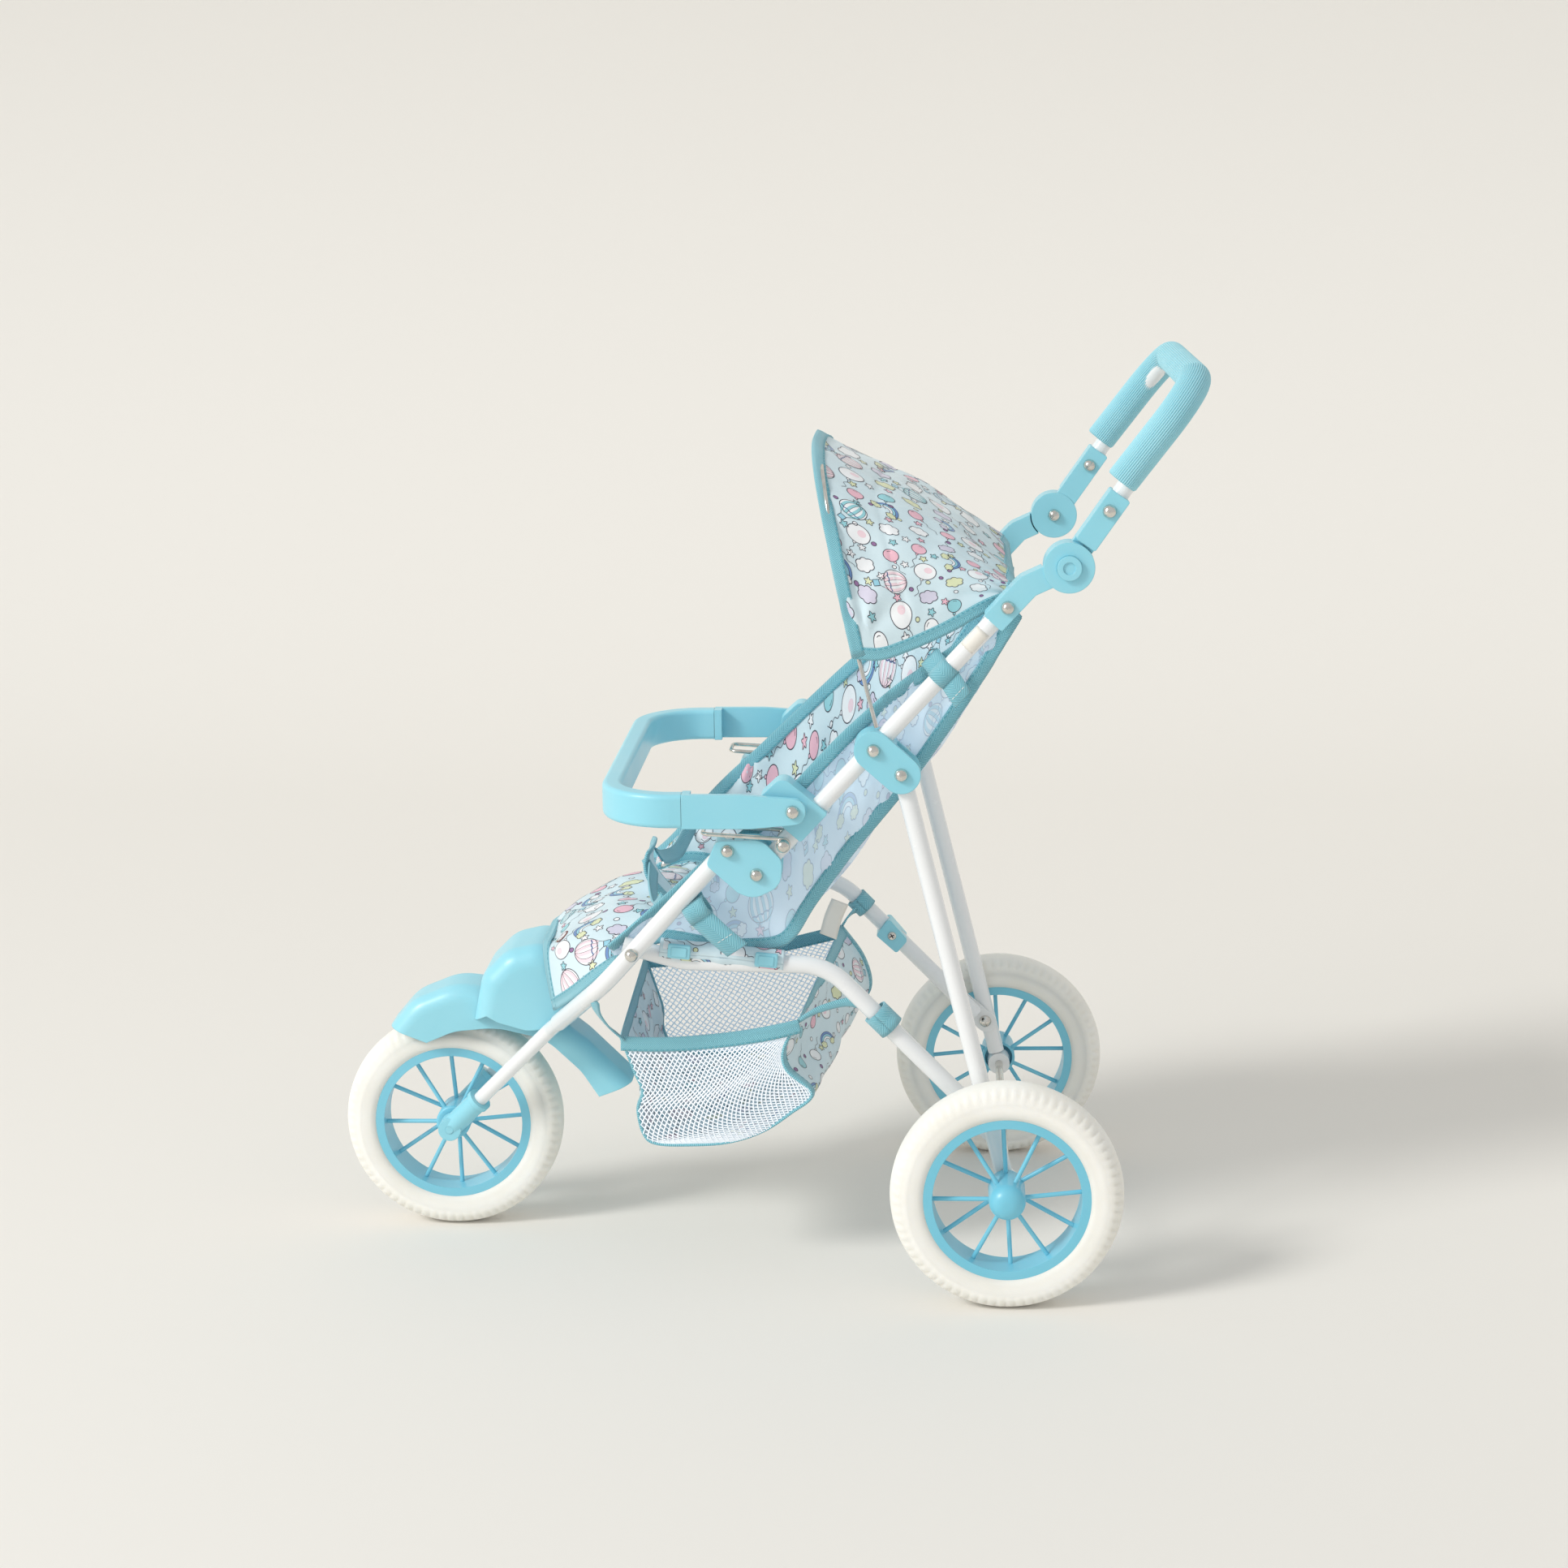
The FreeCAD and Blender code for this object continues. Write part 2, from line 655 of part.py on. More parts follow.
def bar_outline(first, second, half_width):
    """A straight bar with square ends, as an outline."""
    along = Vector(second[0] - first[0], second[1] - first[1], 0).normalize()
    across = Vector(-along.y, along.x, 0) * half_width
    start, end = Vector(first[0], first[1], 0), Vector(second[0], second[1], 0)
    corners = (start + across, end + across, end - across, start - across)
    return [(place.x, place.y, 1.5) for place in corners]


# ---------------------------------------------------------------- handle

def handle_point(along):
    """A side-view point from the disc joint towards the crown of the handle."""
    disc = Vector(size("disc_y"), size("disc_z"), 0)
    crown = Vector(size("crown_y"), size("crown_z"), 0)
    place = disc + (crown - disc).normalize() * along
    return place.x, place.y


def handle_length():
    return math.hypot(size("crown_y - disc_y"), size("crown_z - disc_z"))


def make_upper_arms():
    """The moulded arm above each disc joint, with the joint's inner half and a socket for the grip tube."""
    disc = (size("disc_y"), size("disc_z"))
    for name, side in SIDES.items():
        label = "handle_upper_arm_" + name
        body = new_body(label, Vector(side * size("frame_half"), 0, 0))
        pad_across(body, outline_sketch(body, label + "_disc", "YZ_Plane", [disc_outline()],
                                        [(disc[0], disc[1], "pivot_hole_radius")]), "arm_width + 1")
        disc_cheek(body, label, side)
        arm = bar_outline(handle_point(size("disc_radius") + 1.3), handle_point(size("grip_start")), 8)
        pad_across(body, outline_sketch(body, label + "_arm", "YZ_Plane", [arm]), "arm_width")
        neck = bar_outline(handle_point(9), handle_point(24), 8)
        sketch = outline_sketch(body, label + "_neck", "YZ_Plane", [neck])
        pad = body.newObject("PartDesign::Pad", label + "_neck_pad")
        pad.Profile = sketch
        pad.SideType = "One side"
        pad.Reversed = side > 0
        pad.setExpression("Length", cell("arm_width / 2"))
        clear = size("disc_radius") + 0.35
        relief = body.newObject("PartDesign::SubtractiveCylinder", label + "_relief")
        relief.Radius = clear
        relief.Height = 30
        relief.Placement = Placement(side_point(disc[0], disc[1], -0.15 * side),
                                     Rotation(Vector(0, 0, 1), Vector(side, 0, 0)))
        bore(body, label + "_bore", side_point(*handle_point(32)), side_point(*handle_point(70)),
             "tube_radius + 0.02")
        name_node(body, label)


def handle_route(start_along):
    """The U of the handle, up one arm, over the crown and down the other."""
    x = size("frame_half")
    low = handle_point(start_along)
    crown = handle_point(handle_length())
    return [side_point(*low, x), side_point(*crown, x), side_point(*crown, -x), side_point(*low, -x)]


def make_handle():
    bend = 52
    tube("handle_tube", handle_route(34), bend)
    tube("handle_grip", handle_route(size("grip_start")), bend, outer="grip_radius", inner="grip_bore_radius")


def make_buttons():
    """The round push button in the middle of each disc joint."""
    for name, side in SIDES.items():
        label = "button_" + name
        x = side * size("frame_half")
        outside = side_point(size("disc_y"), size("disc_z"), x + side * 13)
        inside = side_point(size("disc_y"), size("disc_z"), x + side * 7)
        cap = round_bar(label + "_cap", inside, outside, "button_radius")
        dimple = round_bar(label + "_dimple", outside - Vector(side * 1, 0, 0), outside + Vector(side * 2, 0, 0),
                           "button_radius / 2")
        name_node(cut(label + "_cut", cap, dimple), label)


# ---------------------------------------------------------------- bumper bar

def make_bumper():
    """A U-shaped bar with flat side arms that turn on the armrest brackets."""
    front, outer = size("bumper_front_y"), size("bumper_half")
    thick = size("bumper_thickness")
    seam = -46
    low = size("armrest_pivot_z - bumper_height / 2")
    band = [(-outer, seam, 0), (-outer, front, 52), (outer, front, 52), (outer, seam, 0),
            (outer - thick, seam, 0), (outer - thick, front + thick, 38),
            (thick - outer, front + thick, 38), (thick - outer, seam, 0)]
    body = new_body("bumper_bar", Vector(0, 0, low))
    sketch = outline_sketch(body, "bumper_plan", "XY_Plane", [band])
    pad = body.newObject("PartDesign::Pad", "bumper_pad")
    pad.Profile = sketch
    pad.setExpression("Length", cell("bumper_height"))
    doc.recompute()
    rounding = body.newObject("PartDesign::Fillet", "bumper_rounding")
    flat_edges = ["Edge%d" % (number + 1) for number, edge in enumerate(pad.Shape.Edges)
                  if abs(edge.BoundBox.ZMax - edge.BoundBox.ZMin) < 0.01 and edge.BoundBox.YMax < seam + 1
                  and edge.BoundBox.YMax - edge.BoundBox.YMin + edge.BoundBox.XMax - edge.BoundBox.XMin > thick + 1]
    rounding.Base = (pad, flat_edges)
    rounding.Radius = 3.5
    name_node(body, "bumper_bar")
    make_bumper_arms(seam, outer, thick)


def make_bumper_arms(seam, outer, thick):
    """Each arm is thick beside the bar and thins to a cheek outside the armrest bracket."""
    y, z = size("armrest_pivot_y"), size("armrest_pivot_z")
    half = size("bumper_height / 2")
    outline = [(seam + 0.2, z + half, 0), (-6, z + half, 30), (y + 9, z + 8.5, 8.4), (y + 9, z - 8.5, 8.4),
               (2, z - half, 30), (seam + 0.2, z - half, 0)]
    for name, side in SIDES.items():
        label = "bumper_arm_" + name
        body = new_body(label, Vector(side * (outer - thick / 2), 0, 0))
        pad_across(body, outline_sketch(body, label + "_outline", "YZ_Plane", [outline],
                                        [(y, z, "pivot_hole_radius")]), "bumper_thickness")
        doc.recompute()
        before = body.Shape.Volume
        relief = body.newObject("PartDesign::SubtractiveBox", label + "_relief")
        relief.Length, relief.Width, relief.Height = 20, 90, 80
        cheek_face = side * (thick / 2 - size("bumper_cheek"))
        inner_x = min(cheek_face, cheek_face - side * 20)
        relief.Placement = Placement(Vector(inner_x, size("bumper_relief_y"), z - 40), Rotation())
        doc.recompute()
        assert body.Shape.Volume < before - 1, "the relief cut nothing"
        name_node(body, label)


# ---------------------------------------------------------------- rear legs and links

def make_rear_legs():
    pivot_y, pivot_z = size("leg_pivot_y"), size("leg_pivot_z")
    axle_y, axle_z = size("rear_axle_y"), size("axle_height")
    heading = Vector(0, axle_y - pivot_y, axle_z - pivot_z).normalize()
    holders = []
    for name, side in SIDES.items():
        x = side * size("frame_half")
        top = side_point(pivot_y, pivot_z, x) - heading * 7
        foot = side_point(axle_y, axle_z, x) - heading * 9
        tube("rear_leg_" + name, [top, foot], 1, holes=[(pivot_y, pivot_z)])
        label = "axle_holder_" + name
        sleeve = round_bar(label + "_sleeve", foot - heading * 22, foot, "tube_radius - tube_wall - 0.05")
        block = cross_bar(label + "_block", axle_y, axle_z, x - side * 7, x + side * 7.5, "8.6")
        drill = cross_bar(label + "_bore", axle_y, axle_z, x - side * 20, x + side * 20, "axle_radius")
        holders.append(cut(label + "_cut", fuse(label + "_solid", [sleeve, block]), drill))
    group("axle_holders", holders)
    reach = size("rear_track_half") + 14
    name_node(cross_bar("rear_axle_rod", axle_y, axle_z, -reach, reach, "axle_radius"), "rear_axle")


def make_links():
    """A tube under each side of the seat, from the front tube back to a plate beside the rear leg."""
    start_y, start_z = size("link_pivot_y"), size("link_pivot_z")
    end_y, end_z = size("link_end_y"), size("link_end_z")
    plates, rivets = [], []
    for name, side in SIDES.items():
        x = side * size("link_half")
        bend = side_point(52, 238, x)
        end = side_point(end_y, end_z, x)
        end = end + (bend - end).normalize() * 11
        points = [side_point(start_y - 8, start_z + 1, x), side_point(-50, 241, x), bend, end]
        tube("link_tube_" + name, points, 45, holes=[(start_y, start_z)])
        plate_x = side * (size("link_half + tube_radius") + 1.1)
        upper, lower = (end_y - 20, end_z + 17), (end_y + 1, end_z - 1)
        plates.append(side_plate("link_end_plate_" + name, plate_x, "2", [obround(upper, lower, 8)]))
        faces = sorted((plate_x - 1, plate_x + 1))
        rivets.append(dome_rivet("link_end_rivet_" + name, end_y, end_z, *faces, heads=(side > 0, side < 0)))
    group("link_end_plates", plates)
    group("link_end_rivets", rivets)


def make_link_clip():
    """A moulded clip on the right link tube, behind the basket's rear strap."""
    label = "link_clip_right"
    body = new_body(label, Vector(-size("link_half"), 0, 0))
    block = [(81.6, 194.3, 2), (97.6, 179.8, 2), (106.6, 190.3, 3), (91.6, 208.3, 3)]
    pad_across(body, outline_sketch(body, label + "_outline", "YZ_Plane", [block]), "18")
    bend = side_point(52, 238)
    end = side_point(size("link_end_y"), size("link_end_z"))
    bore(body, label + "_bore", bend, end, "tube_radius + 0.02")
    name_node(body, label)


# ---------------------------------------------------------------- wire locks and canopy bow

def make_wire_locks():
    """A closed bail on the upper tube's lock rivet, hooked over the front of the hinge bracket."""
    y, z = size("lock_pivot_y"), size("lock_pivot_z")
    reach, hook_y, hook_z = 12.6, -32, 341
    for name, side in SIDES.items():
        x = side * size("frame_half")
        points = [side_point(y, z + 4.4, x + side * reach), side_point(hook_y, hook_z, x + side * reach),
                  side_point(hook_y, hook_z, x - side * reach), side_point(y, z + 4.4, x - side * reach)]
        route = spine("wire_lock_route_" + name, points, 5)
        bail = sweep("wire_lock_bail_" + name, route, "wire_radius")
        eyes = []
        for inner_or_outer in (-1, 1):
            eye_x = x + inner_or_outer * side * reach
            ring = cross_bar("wire_lock_ring_%s%d" % (name, inner_or_outer), y, z, eye_x - 1.9, eye_x + 1.9, "5.2")
            eyes.append(ring)
        whole = fuse("wire_lock_solid_" + name, [bail] + eyes)
        hole = cross_bar("wire_lock_hole_" + name, y, z, x - 30, x + 30, "pivot_hole_radius")
        name_node(cut("wire_lock_cut_" + name, whole, hole), "wire_lock_" + name)


def make_canopy_bow():
    """The sprung wire that holds the canopy's front hem up, with its feet on the upper tubes."""
    inset = size("cloth_thickness + wire_radius") + 3.4
    arch = canopy_arch(CANOPY_ARCHES[0], inset, behind=4)
    along = [0.02, 0.16, 0.29, 0.4]
    places = [arch.value(share) for share in along + [1 - share for share in reversed(along)]]
    foot = side_point(89, 414, 136)
    route = spine("canopy_bow_route", [foot] + places + [mirrored(foot, -1)], 34)
    name_node(sweep("canopy_bow", route, "wire_radius"), "canopy_bow")


# ---------------------------------------------------------------- soft parts

def cloth_extrusion(label, path, bend, start_x, width):
    """A sheet of cloth, its line given in the side view, drawn out across the stroller from start_x."""
    route = spine(label + "_route", [side_point(y, z, start_x) for y, z in path], bend)
    band = helper("Part::Offset2D", label + "_band")
    band.Source = route
    band.setExpression("Value", cell("cloth_thickness / 2"))
    band.Fill = True
    item = helper("Part::Extrusion", label + "_extrusion")
    item.Base = band
    item.DirMode = "Custom"
    item.Dir = Vector(math.copysign(1, width), 0, 0)
    item.LengthFwd = abs(width)
    item.Solid = True
    return item


def cloth_strip(label, path, bend, width):
    """A sheet of cloth that spans the stroller."""
    return name_node(cloth_extrusion(label, path, bend, -width / 2, width), label)


def make_seat():
    cloth_strip("seat_back", SEAT_BACK_PATH, 60, 222)
    cloth_strip("seat_bottom", SEAT_BOTTOM_PATH, 26, 200)
    flaps = [cloth_extrusion("leg_flap_" + name, LEG_FLAP_PATH, 5, side * 51, side * 24)
             for name, side in SIDES.items()]
    group("leg_flap", flaps)
    for name, side in SIDES.items():
        panel = side_plate("seat_side_" + name, side * 112, "1.2", [SEAT_SIDE_OUTLINE])
        name_node(panel, "seat_side_" + name)


def canopy_arch(arch, inset, behind=0.0):
    """One arch of the hood as a smooth curve, drawn in by the inset."""
    (low_y, low_z), (top_y, top_z), half = arch
    lean = (top_y - low_y) / (top_z - low_z)
    mirrored_poles = [(-across, rise) for across, rise in reversed(ARCH_POLES)]
    places = []
    for across, rise in ARCH_POLES + mirrored_poles:
        z = low_z + (top_z - inset - low_z) * rise
        places.append(Vector((half - inset) * across, low_y + behind + (z - low_z) * lean, z))
    curve = Part.BSplineCurve()
    curve.buildFromPoles(places, False, 3)
    return curve


def make_canopy():
    """A hood of even thickness: a loft of horseshoe bands, open at the front, the rear and below."""
    bands = []
    for arch in CANOPY_ARCHES:
        outer, inner = canopy_arch(arch, 0), canopy_arch(arch, size("cloth_thickness"))
        hems = [Part.LineSegment(outer.value(end), inner.value(end)) for end in (0, 1)]
        bands.append(Part.Wire(Part.__sortEdges__([curve.toShape() for curve in [outer, inner] + hems])))
    item = helper("Part::Feature", "canopy_shell")
    item.Shape = Part.makeLoft(bands, True, True)
    name_node(item, "canopy")


def make_basket():
    """A tapering open basket that hangs from the link tubes."""
    outer, inner = basket_loft(0), basket_loft(size("cloth_thickness"))
    item = helper("Part::Feature", "basket_shell")
    item.Shape = outer.cut(inner)
    name_node(item, "basket")


def basket_loft(inset):
    """A solid from the basket's floor to its rim, drawn in by the cloth's thickness."""
    floor_z, rim_z = 102 + inset, 186 + (10 if inset else 0)
    wires = []
    for z, front, rear, half in ((floor_z, -78, 14, 100), (rim_z, -94, 62, 106)):
        corners = [(-half + inset, front + inset, 12), (half - inset, front + inset, 12),
                   (half - inset, rear - inset, 12), (-half + inset, rear - inset, 12)]
        curves = rounded_curves([(Vector(x, y, z), radius) for x, y, radius in corners], closed=True)
        wires.append(Part.Wire(Part.__sortEdges__([curve.toShape() for curve in curves])))
    return Part.makeLoft(wires, True, False)


# ---------------------------------------------------------------- rivets of each body

def make_rivets():
    """Every rivet, grouped by the body that holds it; each entry is (y, z, inner reach, outer reach)."""
    cheek = size("bracket_width / 2")
    half = size("frame_half")
    socket = (size("socket_y"), size("socket_z"), cheek, cheek)
    fold = (size("fold_y"), size("fold_z"), cheek, cheek)
    link_reach = half - size("link_half - tube_radius") + 0.4
    link = (size("link_pivot_y"), size("link_pivot_z"), link_reach, size("tube_radius") + 0.4)
    bracket = (*on_upper_tube(120.3), cheek, cheek)
    leg = (size("leg_pivot_y"), size("leg_pivot_z"), cheek, cheek)
    lock = (size("lock_pivot_y"), size("lock_pivot_z"), 14.8, 14.8)
    bumper = (size("armrest_pivot_y"), size("armrest_pivot_z"), cheek - 0.5, size("bumper_half") - half + 0.3)
    lower_arm = (*on_upper_tube(256), size("arm_width / 2"), size("arm_width / 2"))
    grip_arm = (*handle_point(47), size("arm_width / 2"), size("arm_width / 2"))
    rivet_group("frame_rivets", [socket, fold, link])
    rivet_group("upper_rivets", [bracket, leg, lock, bumper, lower_arm])
    rivet_group("handle_rivets", [grip_arm])
    rivet_group("disc_rivets", [(size("disc_y"), size("disc_z"), size("arm_width / 2") + 0.7, 2)], outer=False)


def rivet_group(label, places, outer=True):
    """The same rivets on both sides; the outer head can be left off where a cap hides it."""
    rivets = []
    for name, side in SIDES.items():
        for number, (y, z, inward, outward) in enumerate(places):
            x = side * size("frame_half")
            if side > 0:
                reach, heads = (x - inward, x + outward), (True, outer)
            else:
                reach, heads = (x - outward, x + inward), (outer, True)
            rivets.append(dome_rivet("%s_%s%d" % (label, name, number), y, z, *reach, heads=heads))
    group(label, rivets)


make_wheels()
make_front_frame()
make_fender()
make_footrest()
make_hinge_brackets()
make_upper_tubes()
make_armrest_brackets()
make_leg_brackets()
make_lower_arms()
make_upper_arms()
make_handle()
make_buttons()
make_bumper()
make_rear_legs()
make_links()
make_link_clip()
make_wire_locks()
make_canopy_bow()
make_seat()
make_canopy()
make_basket()
make_rivets()

doc.recompute()
for item in doc.Objects:
    assert not {"Invalid", "Error"} & set(item.State), "%s failed" % item.Label
os.makedirs("parts", exist_ok=True)
for item in nodes:
    assert not item.Shape.isNull() and item.Shape.isValid(), "%s is not a valid shape" % item.Label
    item.Shape.exportStep("parts/%s.step" % item.Label)
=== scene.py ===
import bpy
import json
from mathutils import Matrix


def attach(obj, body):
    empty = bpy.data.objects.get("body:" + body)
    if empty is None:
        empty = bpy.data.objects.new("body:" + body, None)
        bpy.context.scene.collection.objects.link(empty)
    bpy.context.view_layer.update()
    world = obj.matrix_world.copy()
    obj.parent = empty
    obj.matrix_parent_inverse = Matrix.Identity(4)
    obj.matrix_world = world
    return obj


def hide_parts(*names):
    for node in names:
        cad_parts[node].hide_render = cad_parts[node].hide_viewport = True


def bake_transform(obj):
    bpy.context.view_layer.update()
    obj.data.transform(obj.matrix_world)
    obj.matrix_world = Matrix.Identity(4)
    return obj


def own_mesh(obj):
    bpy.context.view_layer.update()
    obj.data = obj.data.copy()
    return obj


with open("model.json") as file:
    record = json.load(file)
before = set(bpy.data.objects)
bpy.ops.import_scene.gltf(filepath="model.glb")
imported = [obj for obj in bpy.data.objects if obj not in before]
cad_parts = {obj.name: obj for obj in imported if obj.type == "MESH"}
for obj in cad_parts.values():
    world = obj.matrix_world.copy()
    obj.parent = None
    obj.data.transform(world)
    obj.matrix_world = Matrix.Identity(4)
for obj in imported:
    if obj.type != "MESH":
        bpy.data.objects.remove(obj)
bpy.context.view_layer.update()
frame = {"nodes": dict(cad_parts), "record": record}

import json
import math
import random

import bpy
import numpy as np
from mathutils import Matrix, Vector

# Lengths in this file are millimetres unless a name says otherwise; MM turns them into metres.
# +Z is up, the front wheel points to -Y, and the side nearest the camera is +X.
MM = 0.001
SIDES = {"left": 1, "right": -1}

# ---------------------------------------------------------------- colours and materials

COLOURS = {
    "paint": "F4F5F5",
    "plastic": "93DAEA",
    "rim": "78CBE2",
    "grip": "A0D9E5",
    "foam": "F7F5EE",
    "tape": "86D1E0",
    "ground": "D9EDF4",
    "ground_back": "D6EAF8",
    "net": "F7F8F8",
    "thread": "EAF3F2",
    "stitch": "5AAFC2",
    "label": "F3EFE6",
    "patch": "7A3B36",
    "steel": "E0DDD6",
    "floor": "ECE9E3",
}

# GLOW is the colour of painted light: an emission that brightens the reverse cloth, the net and the faint reverse
# print where they lie in shade.
GLOW = "CDE6FF"

INKS = {
    "line": "43414E",
    "white": "F8FAFC",
    "lilac": "DAD6E8",
    "green": "E3E8BE",
    "pink": "F4C0CF",
    "rose": "F8DCE4",
    "teal": "9AD6DF",
    "blue": "6D92C9",
    "sky": "9BD3E6",
    "plum": "96709F",
}


def linear(hex_colour):
    """The scene's linear colour for a six-digit screen colour."""
    parts = [int(hex_colour[i:i + 2], 16) / 255 for i in (0, 2, 4)]
    return [p / 12.92 if p <= 0.04045 else ((p + 0.055) / 1.055) ** 2.4 for p in parts] + [1.0]


def mixed(hex_a, hex_b, share):
    a, b = linear(hex_a), linear(hex_b)
    return [x * (1 - share) + y * share for x, y in zip(a, b)]


class Shader:
    """A material's node tree, with short ways to add and link nodes."""

    def __init__(self, name, colour, roughness, **values):
        self.material = bpy.data.materials.new(name)
        self.material.use_nodes = True
        self.tree = self.material.node_tree
        self.surface = self.tree.nodes["Principled BSDF"]
        self.set(self.surface, "Base Color", colour)
        self.set(self.surface, "Roughness", roughness)
        for socket, value in values.items():
            self.set(self.surface, socket.replace("_", " "), value)
        self.material.diffuse_color = colour

    def set(self, node, socket, value):
        node.inputs[socket].default_value = value

    def add(self, kind, **values):
        node = self.tree.nodes.new(kind)
        for socket, value in values.items():
            node.inputs[socket.replace("_", " ")].default_value = value
        return node

    def link(self, source, target, socket):
        self.tree.links.new(source, target.inputs[socket])

    def coordinates(self, kind="Object"):
        return self.add("ShaderNodeTexCoord").outputs[kind]

    def noise(self, scale, detail=3.0, kind="Object"):
        node = self.add("ShaderNodeTexNoise", Scale=scale, Detail=detail)
        self.link(self.coordinates(kind), node, "Vector")
        return node.outputs["Fac"]

    def maths(self, operation, a, b=None):
        node = self.add("ShaderNodeMath")
        node.operation = operation
        for number, value in enumerate((a, b)):
            if value is None:
                continue
            if isinstance(value, (int, float)):
                node.inputs[number].default_value = value
            else:
                self.tree.links.new(value, node.inputs[number])
        return node.outputs[0]

    def blend_colour(self, factor, colour_a, colour_b, low=0.3, high=0.7):
        """The base colour runs from one colour to the other as factor goes from low to high."""
        ramp = self.add("ShaderNodeValToRGB")
        ramp.color_ramp.elements[0].position = low
        ramp.color_ramp.elements[1].position = high
        ramp.color_ramp.elements[0].color = colour_a
        ramp.color_ramp.elements[1].color = colour_b
        self.tree.links.new(factor, ramp.inputs["Fac"])
        self.link(ramp.outputs["Color"], self.surface, "Base Color")

    def vary_roughness(self, factor, low, high):
        spread = self.maths("MULTIPLY", factor, high - low)
        self.link(self.maths("ADD", spread, low), self.surface, "Roughness")

    def bump(self, height, depth_mm, strength=1.0, under=None):
        node = self.add("ShaderNodeBump", Strength=strength, Distance=depth_mm * MM)
        self.tree.links.new(height, node.inputs["Height"])
        if under is not None:
            self.link(under, node, "Normal")
        self.link(node.outputs["Normal"], self.surface, "Normal")
        return node.outputs["Normal"]

    def round_edges(self, radius_mm):
        node = self.add("ShaderNodeBevel", Radius=radius_mm * MM)
        node.samples = 6
        self.link(node.outputs["Normal"], self.surface, "Normal")
        return node.outputs["Normal"]


def plastic_material(name, colour, edge_mm=0.9):
    """Moulded plastic: soft gloss, a faint flow mottling, and moulded edges that catch the light."""
    hue = COLOURS[colour]
    shader = Shader(name, linear(hue), 0.36, Subsurface_Weight=0.12, Subsurface_Scale=0.004,
                    Coat_Weight=0.18, Coat_Roughness=0.2)
    shader.set(shader.surface, "Subsurface Radius", (0.5, 0.9, 1.0))
    shader.blend_colour(shader.noise(9, 4), mixed(hue, "5FB4C9", 0.10), mixed(hue, "FFFFFF", 0.06))
    shader.vary_roughness(shader.noise(38, 5), 0.30, 0.46)
    shader.bump(shader.noise(950, 2), 0.05, 0.22, under=shader.round_edges(edge_mm))
    return shader.material


def paint_material():
    """White stoved paint on steel tube, with slight orange peel."""
    shader = Shader("white_paint", linear(COLOURS["paint"]), 0.22, Coat_Weight=0.5, Coat_Roughness=0.08)
    shader.blend_colour(shader.noise(6, 3), mixed(COLOURS["paint"], "D8DDE0", 0.25), linear(COLOURS["paint"]))
    shader.vary_roughness(shader.noise(60, 4), 0.17, 0.33)
    shader.bump(shader.noise(420, 2), 0.06, 0.25, under=shader.round_edges(0.4))
    return shader.material


def steel_material(name="steel", tint=COLOURS["steel"], roughness=0.16):
    """Bright plated steel with fine rubbed marks."""
    shader = Shader(name, linear(tint), roughness, Metallic=1.0)
    shader.blend_colour(shader.noise(140, 4), mixed(tint, "8D8270", 0.35), linear(tint), 0.25, 0.6)
    shader.vary_roughness(shader.noise(300, 5), roughness * 0.6, roughness * 1.8)
    shader.bump(shader.noise(1500, 2), 0.02, 0.3, under=shader.round_edges(0.3))
    return shader.material


def foam_material(name, colour, soft):
    """Closed-cell foam: fine pores and light that spreads under the skin."""
    hue = COLOURS[colour]
    shader = Shader(name, linear(hue), 0.62, Subsurface_Weight=soft, Subsurface_Scale=0.006)
    shader.set(shader.surface, "Subsurface Radius", (1.0, 0.95, 0.85))
    shader.blend_colour(shader.noise(26, 5), mixed(hue, "CFC9B4" if colour == "foam" else "6BB8C8", 0.16),
                        linear(hue), 0.3, 0.62)
    shader.bump(shader.noise(900, 4), 0.14, 0.4)
    return shader.material


def cloth_material(name, colour, roughness=0.5, weave_mm=0.42, sheen=0.25, glow=0.0):
    """Plain woven polyester; glow stands for the daylight that comes through thin cloth."""
    shader = Shader(name, colour, roughness, Sheen_Weight=sheen, Sheen_Roughness=0.4,
                    Emission_Color=linear(GLOW), Emission_Strength=glow)
    split = shader.add("ShaderNodeSeparateXYZ")
    shader.link(shader.coordinates("UV"), split, "Vector")
    turns = 2 * math.pi / weave_mm
    warp = shader.maths("SINE", shader.maths("MULTIPLY", split.outputs["X"], turns))
    weft = shader.maths("SINE", shader.maths("MULTIPLY", split.outputs["Y"], turns))
    height = shader.maths("MULTIPLY", warp, weft)
    deeper = [c * 0.93 for c in colour[:3]] + [1.0]
    shader.blend_colour(shader.noise(14, 4), deeper, colour)
    shader.vary_roughness(shader.noise(30, 3), roughness - 0.08, roughness + 0.10)
    fine = shader.bump(height, 0.05, 0.35)
    crumple = shader.noise(34, 3)
    shader.bump(crumple, 1.6, 0.35, under=fine)
    return shader.material


def tape_material():
    """Herringbone cotton tape; U runs along the tape and V across it, in millimetres."""
    hue = COLOURS["tape"]
    shader = Shader("binding_tape", linear(hue), 0.68, Sheen_Weight=0.4, Sheen_Roughness=0.5)
    split = shader.add("ShaderNodeSeparateXYZ")
    shader.link(shader.coordinates("UV"), split, "Vector")
    slant = shader.maths("ADD", split.outputs["X"], shader.maths("ABSOLUTE", split.outputs["Y"]))
    rib = shader.maths("SINE", shader.maths("MULTIPLY", slant, 2 * math.pi / 1.5))
    grain = shader.noise(520, 3)
    height = shader.maths("ADD", rib, grain)
    # the colour follows the rib: lighter on the ridges and darker in the grooves, painted highlight and shade of the
    # weave's relief
    shader.blend_colour(shader.maths("ADD", shader.maths("MULTIPLY", rib, 0.25), 0.5),
                        mixed(hue, "3E9DB4", 0.55), mixed(hue, "C8F0F4", 0.30), 0.25, 0.75)
    shader.bump(height, 0.35, 0.7)
    return shader.material


def floor_material():
    shader = Shader("studio_floor", linear(COLOURS["floor"]), 0.85)
    shader.bump(shader.noise(40, 4), 0.1, 0.1)
    return shader.material


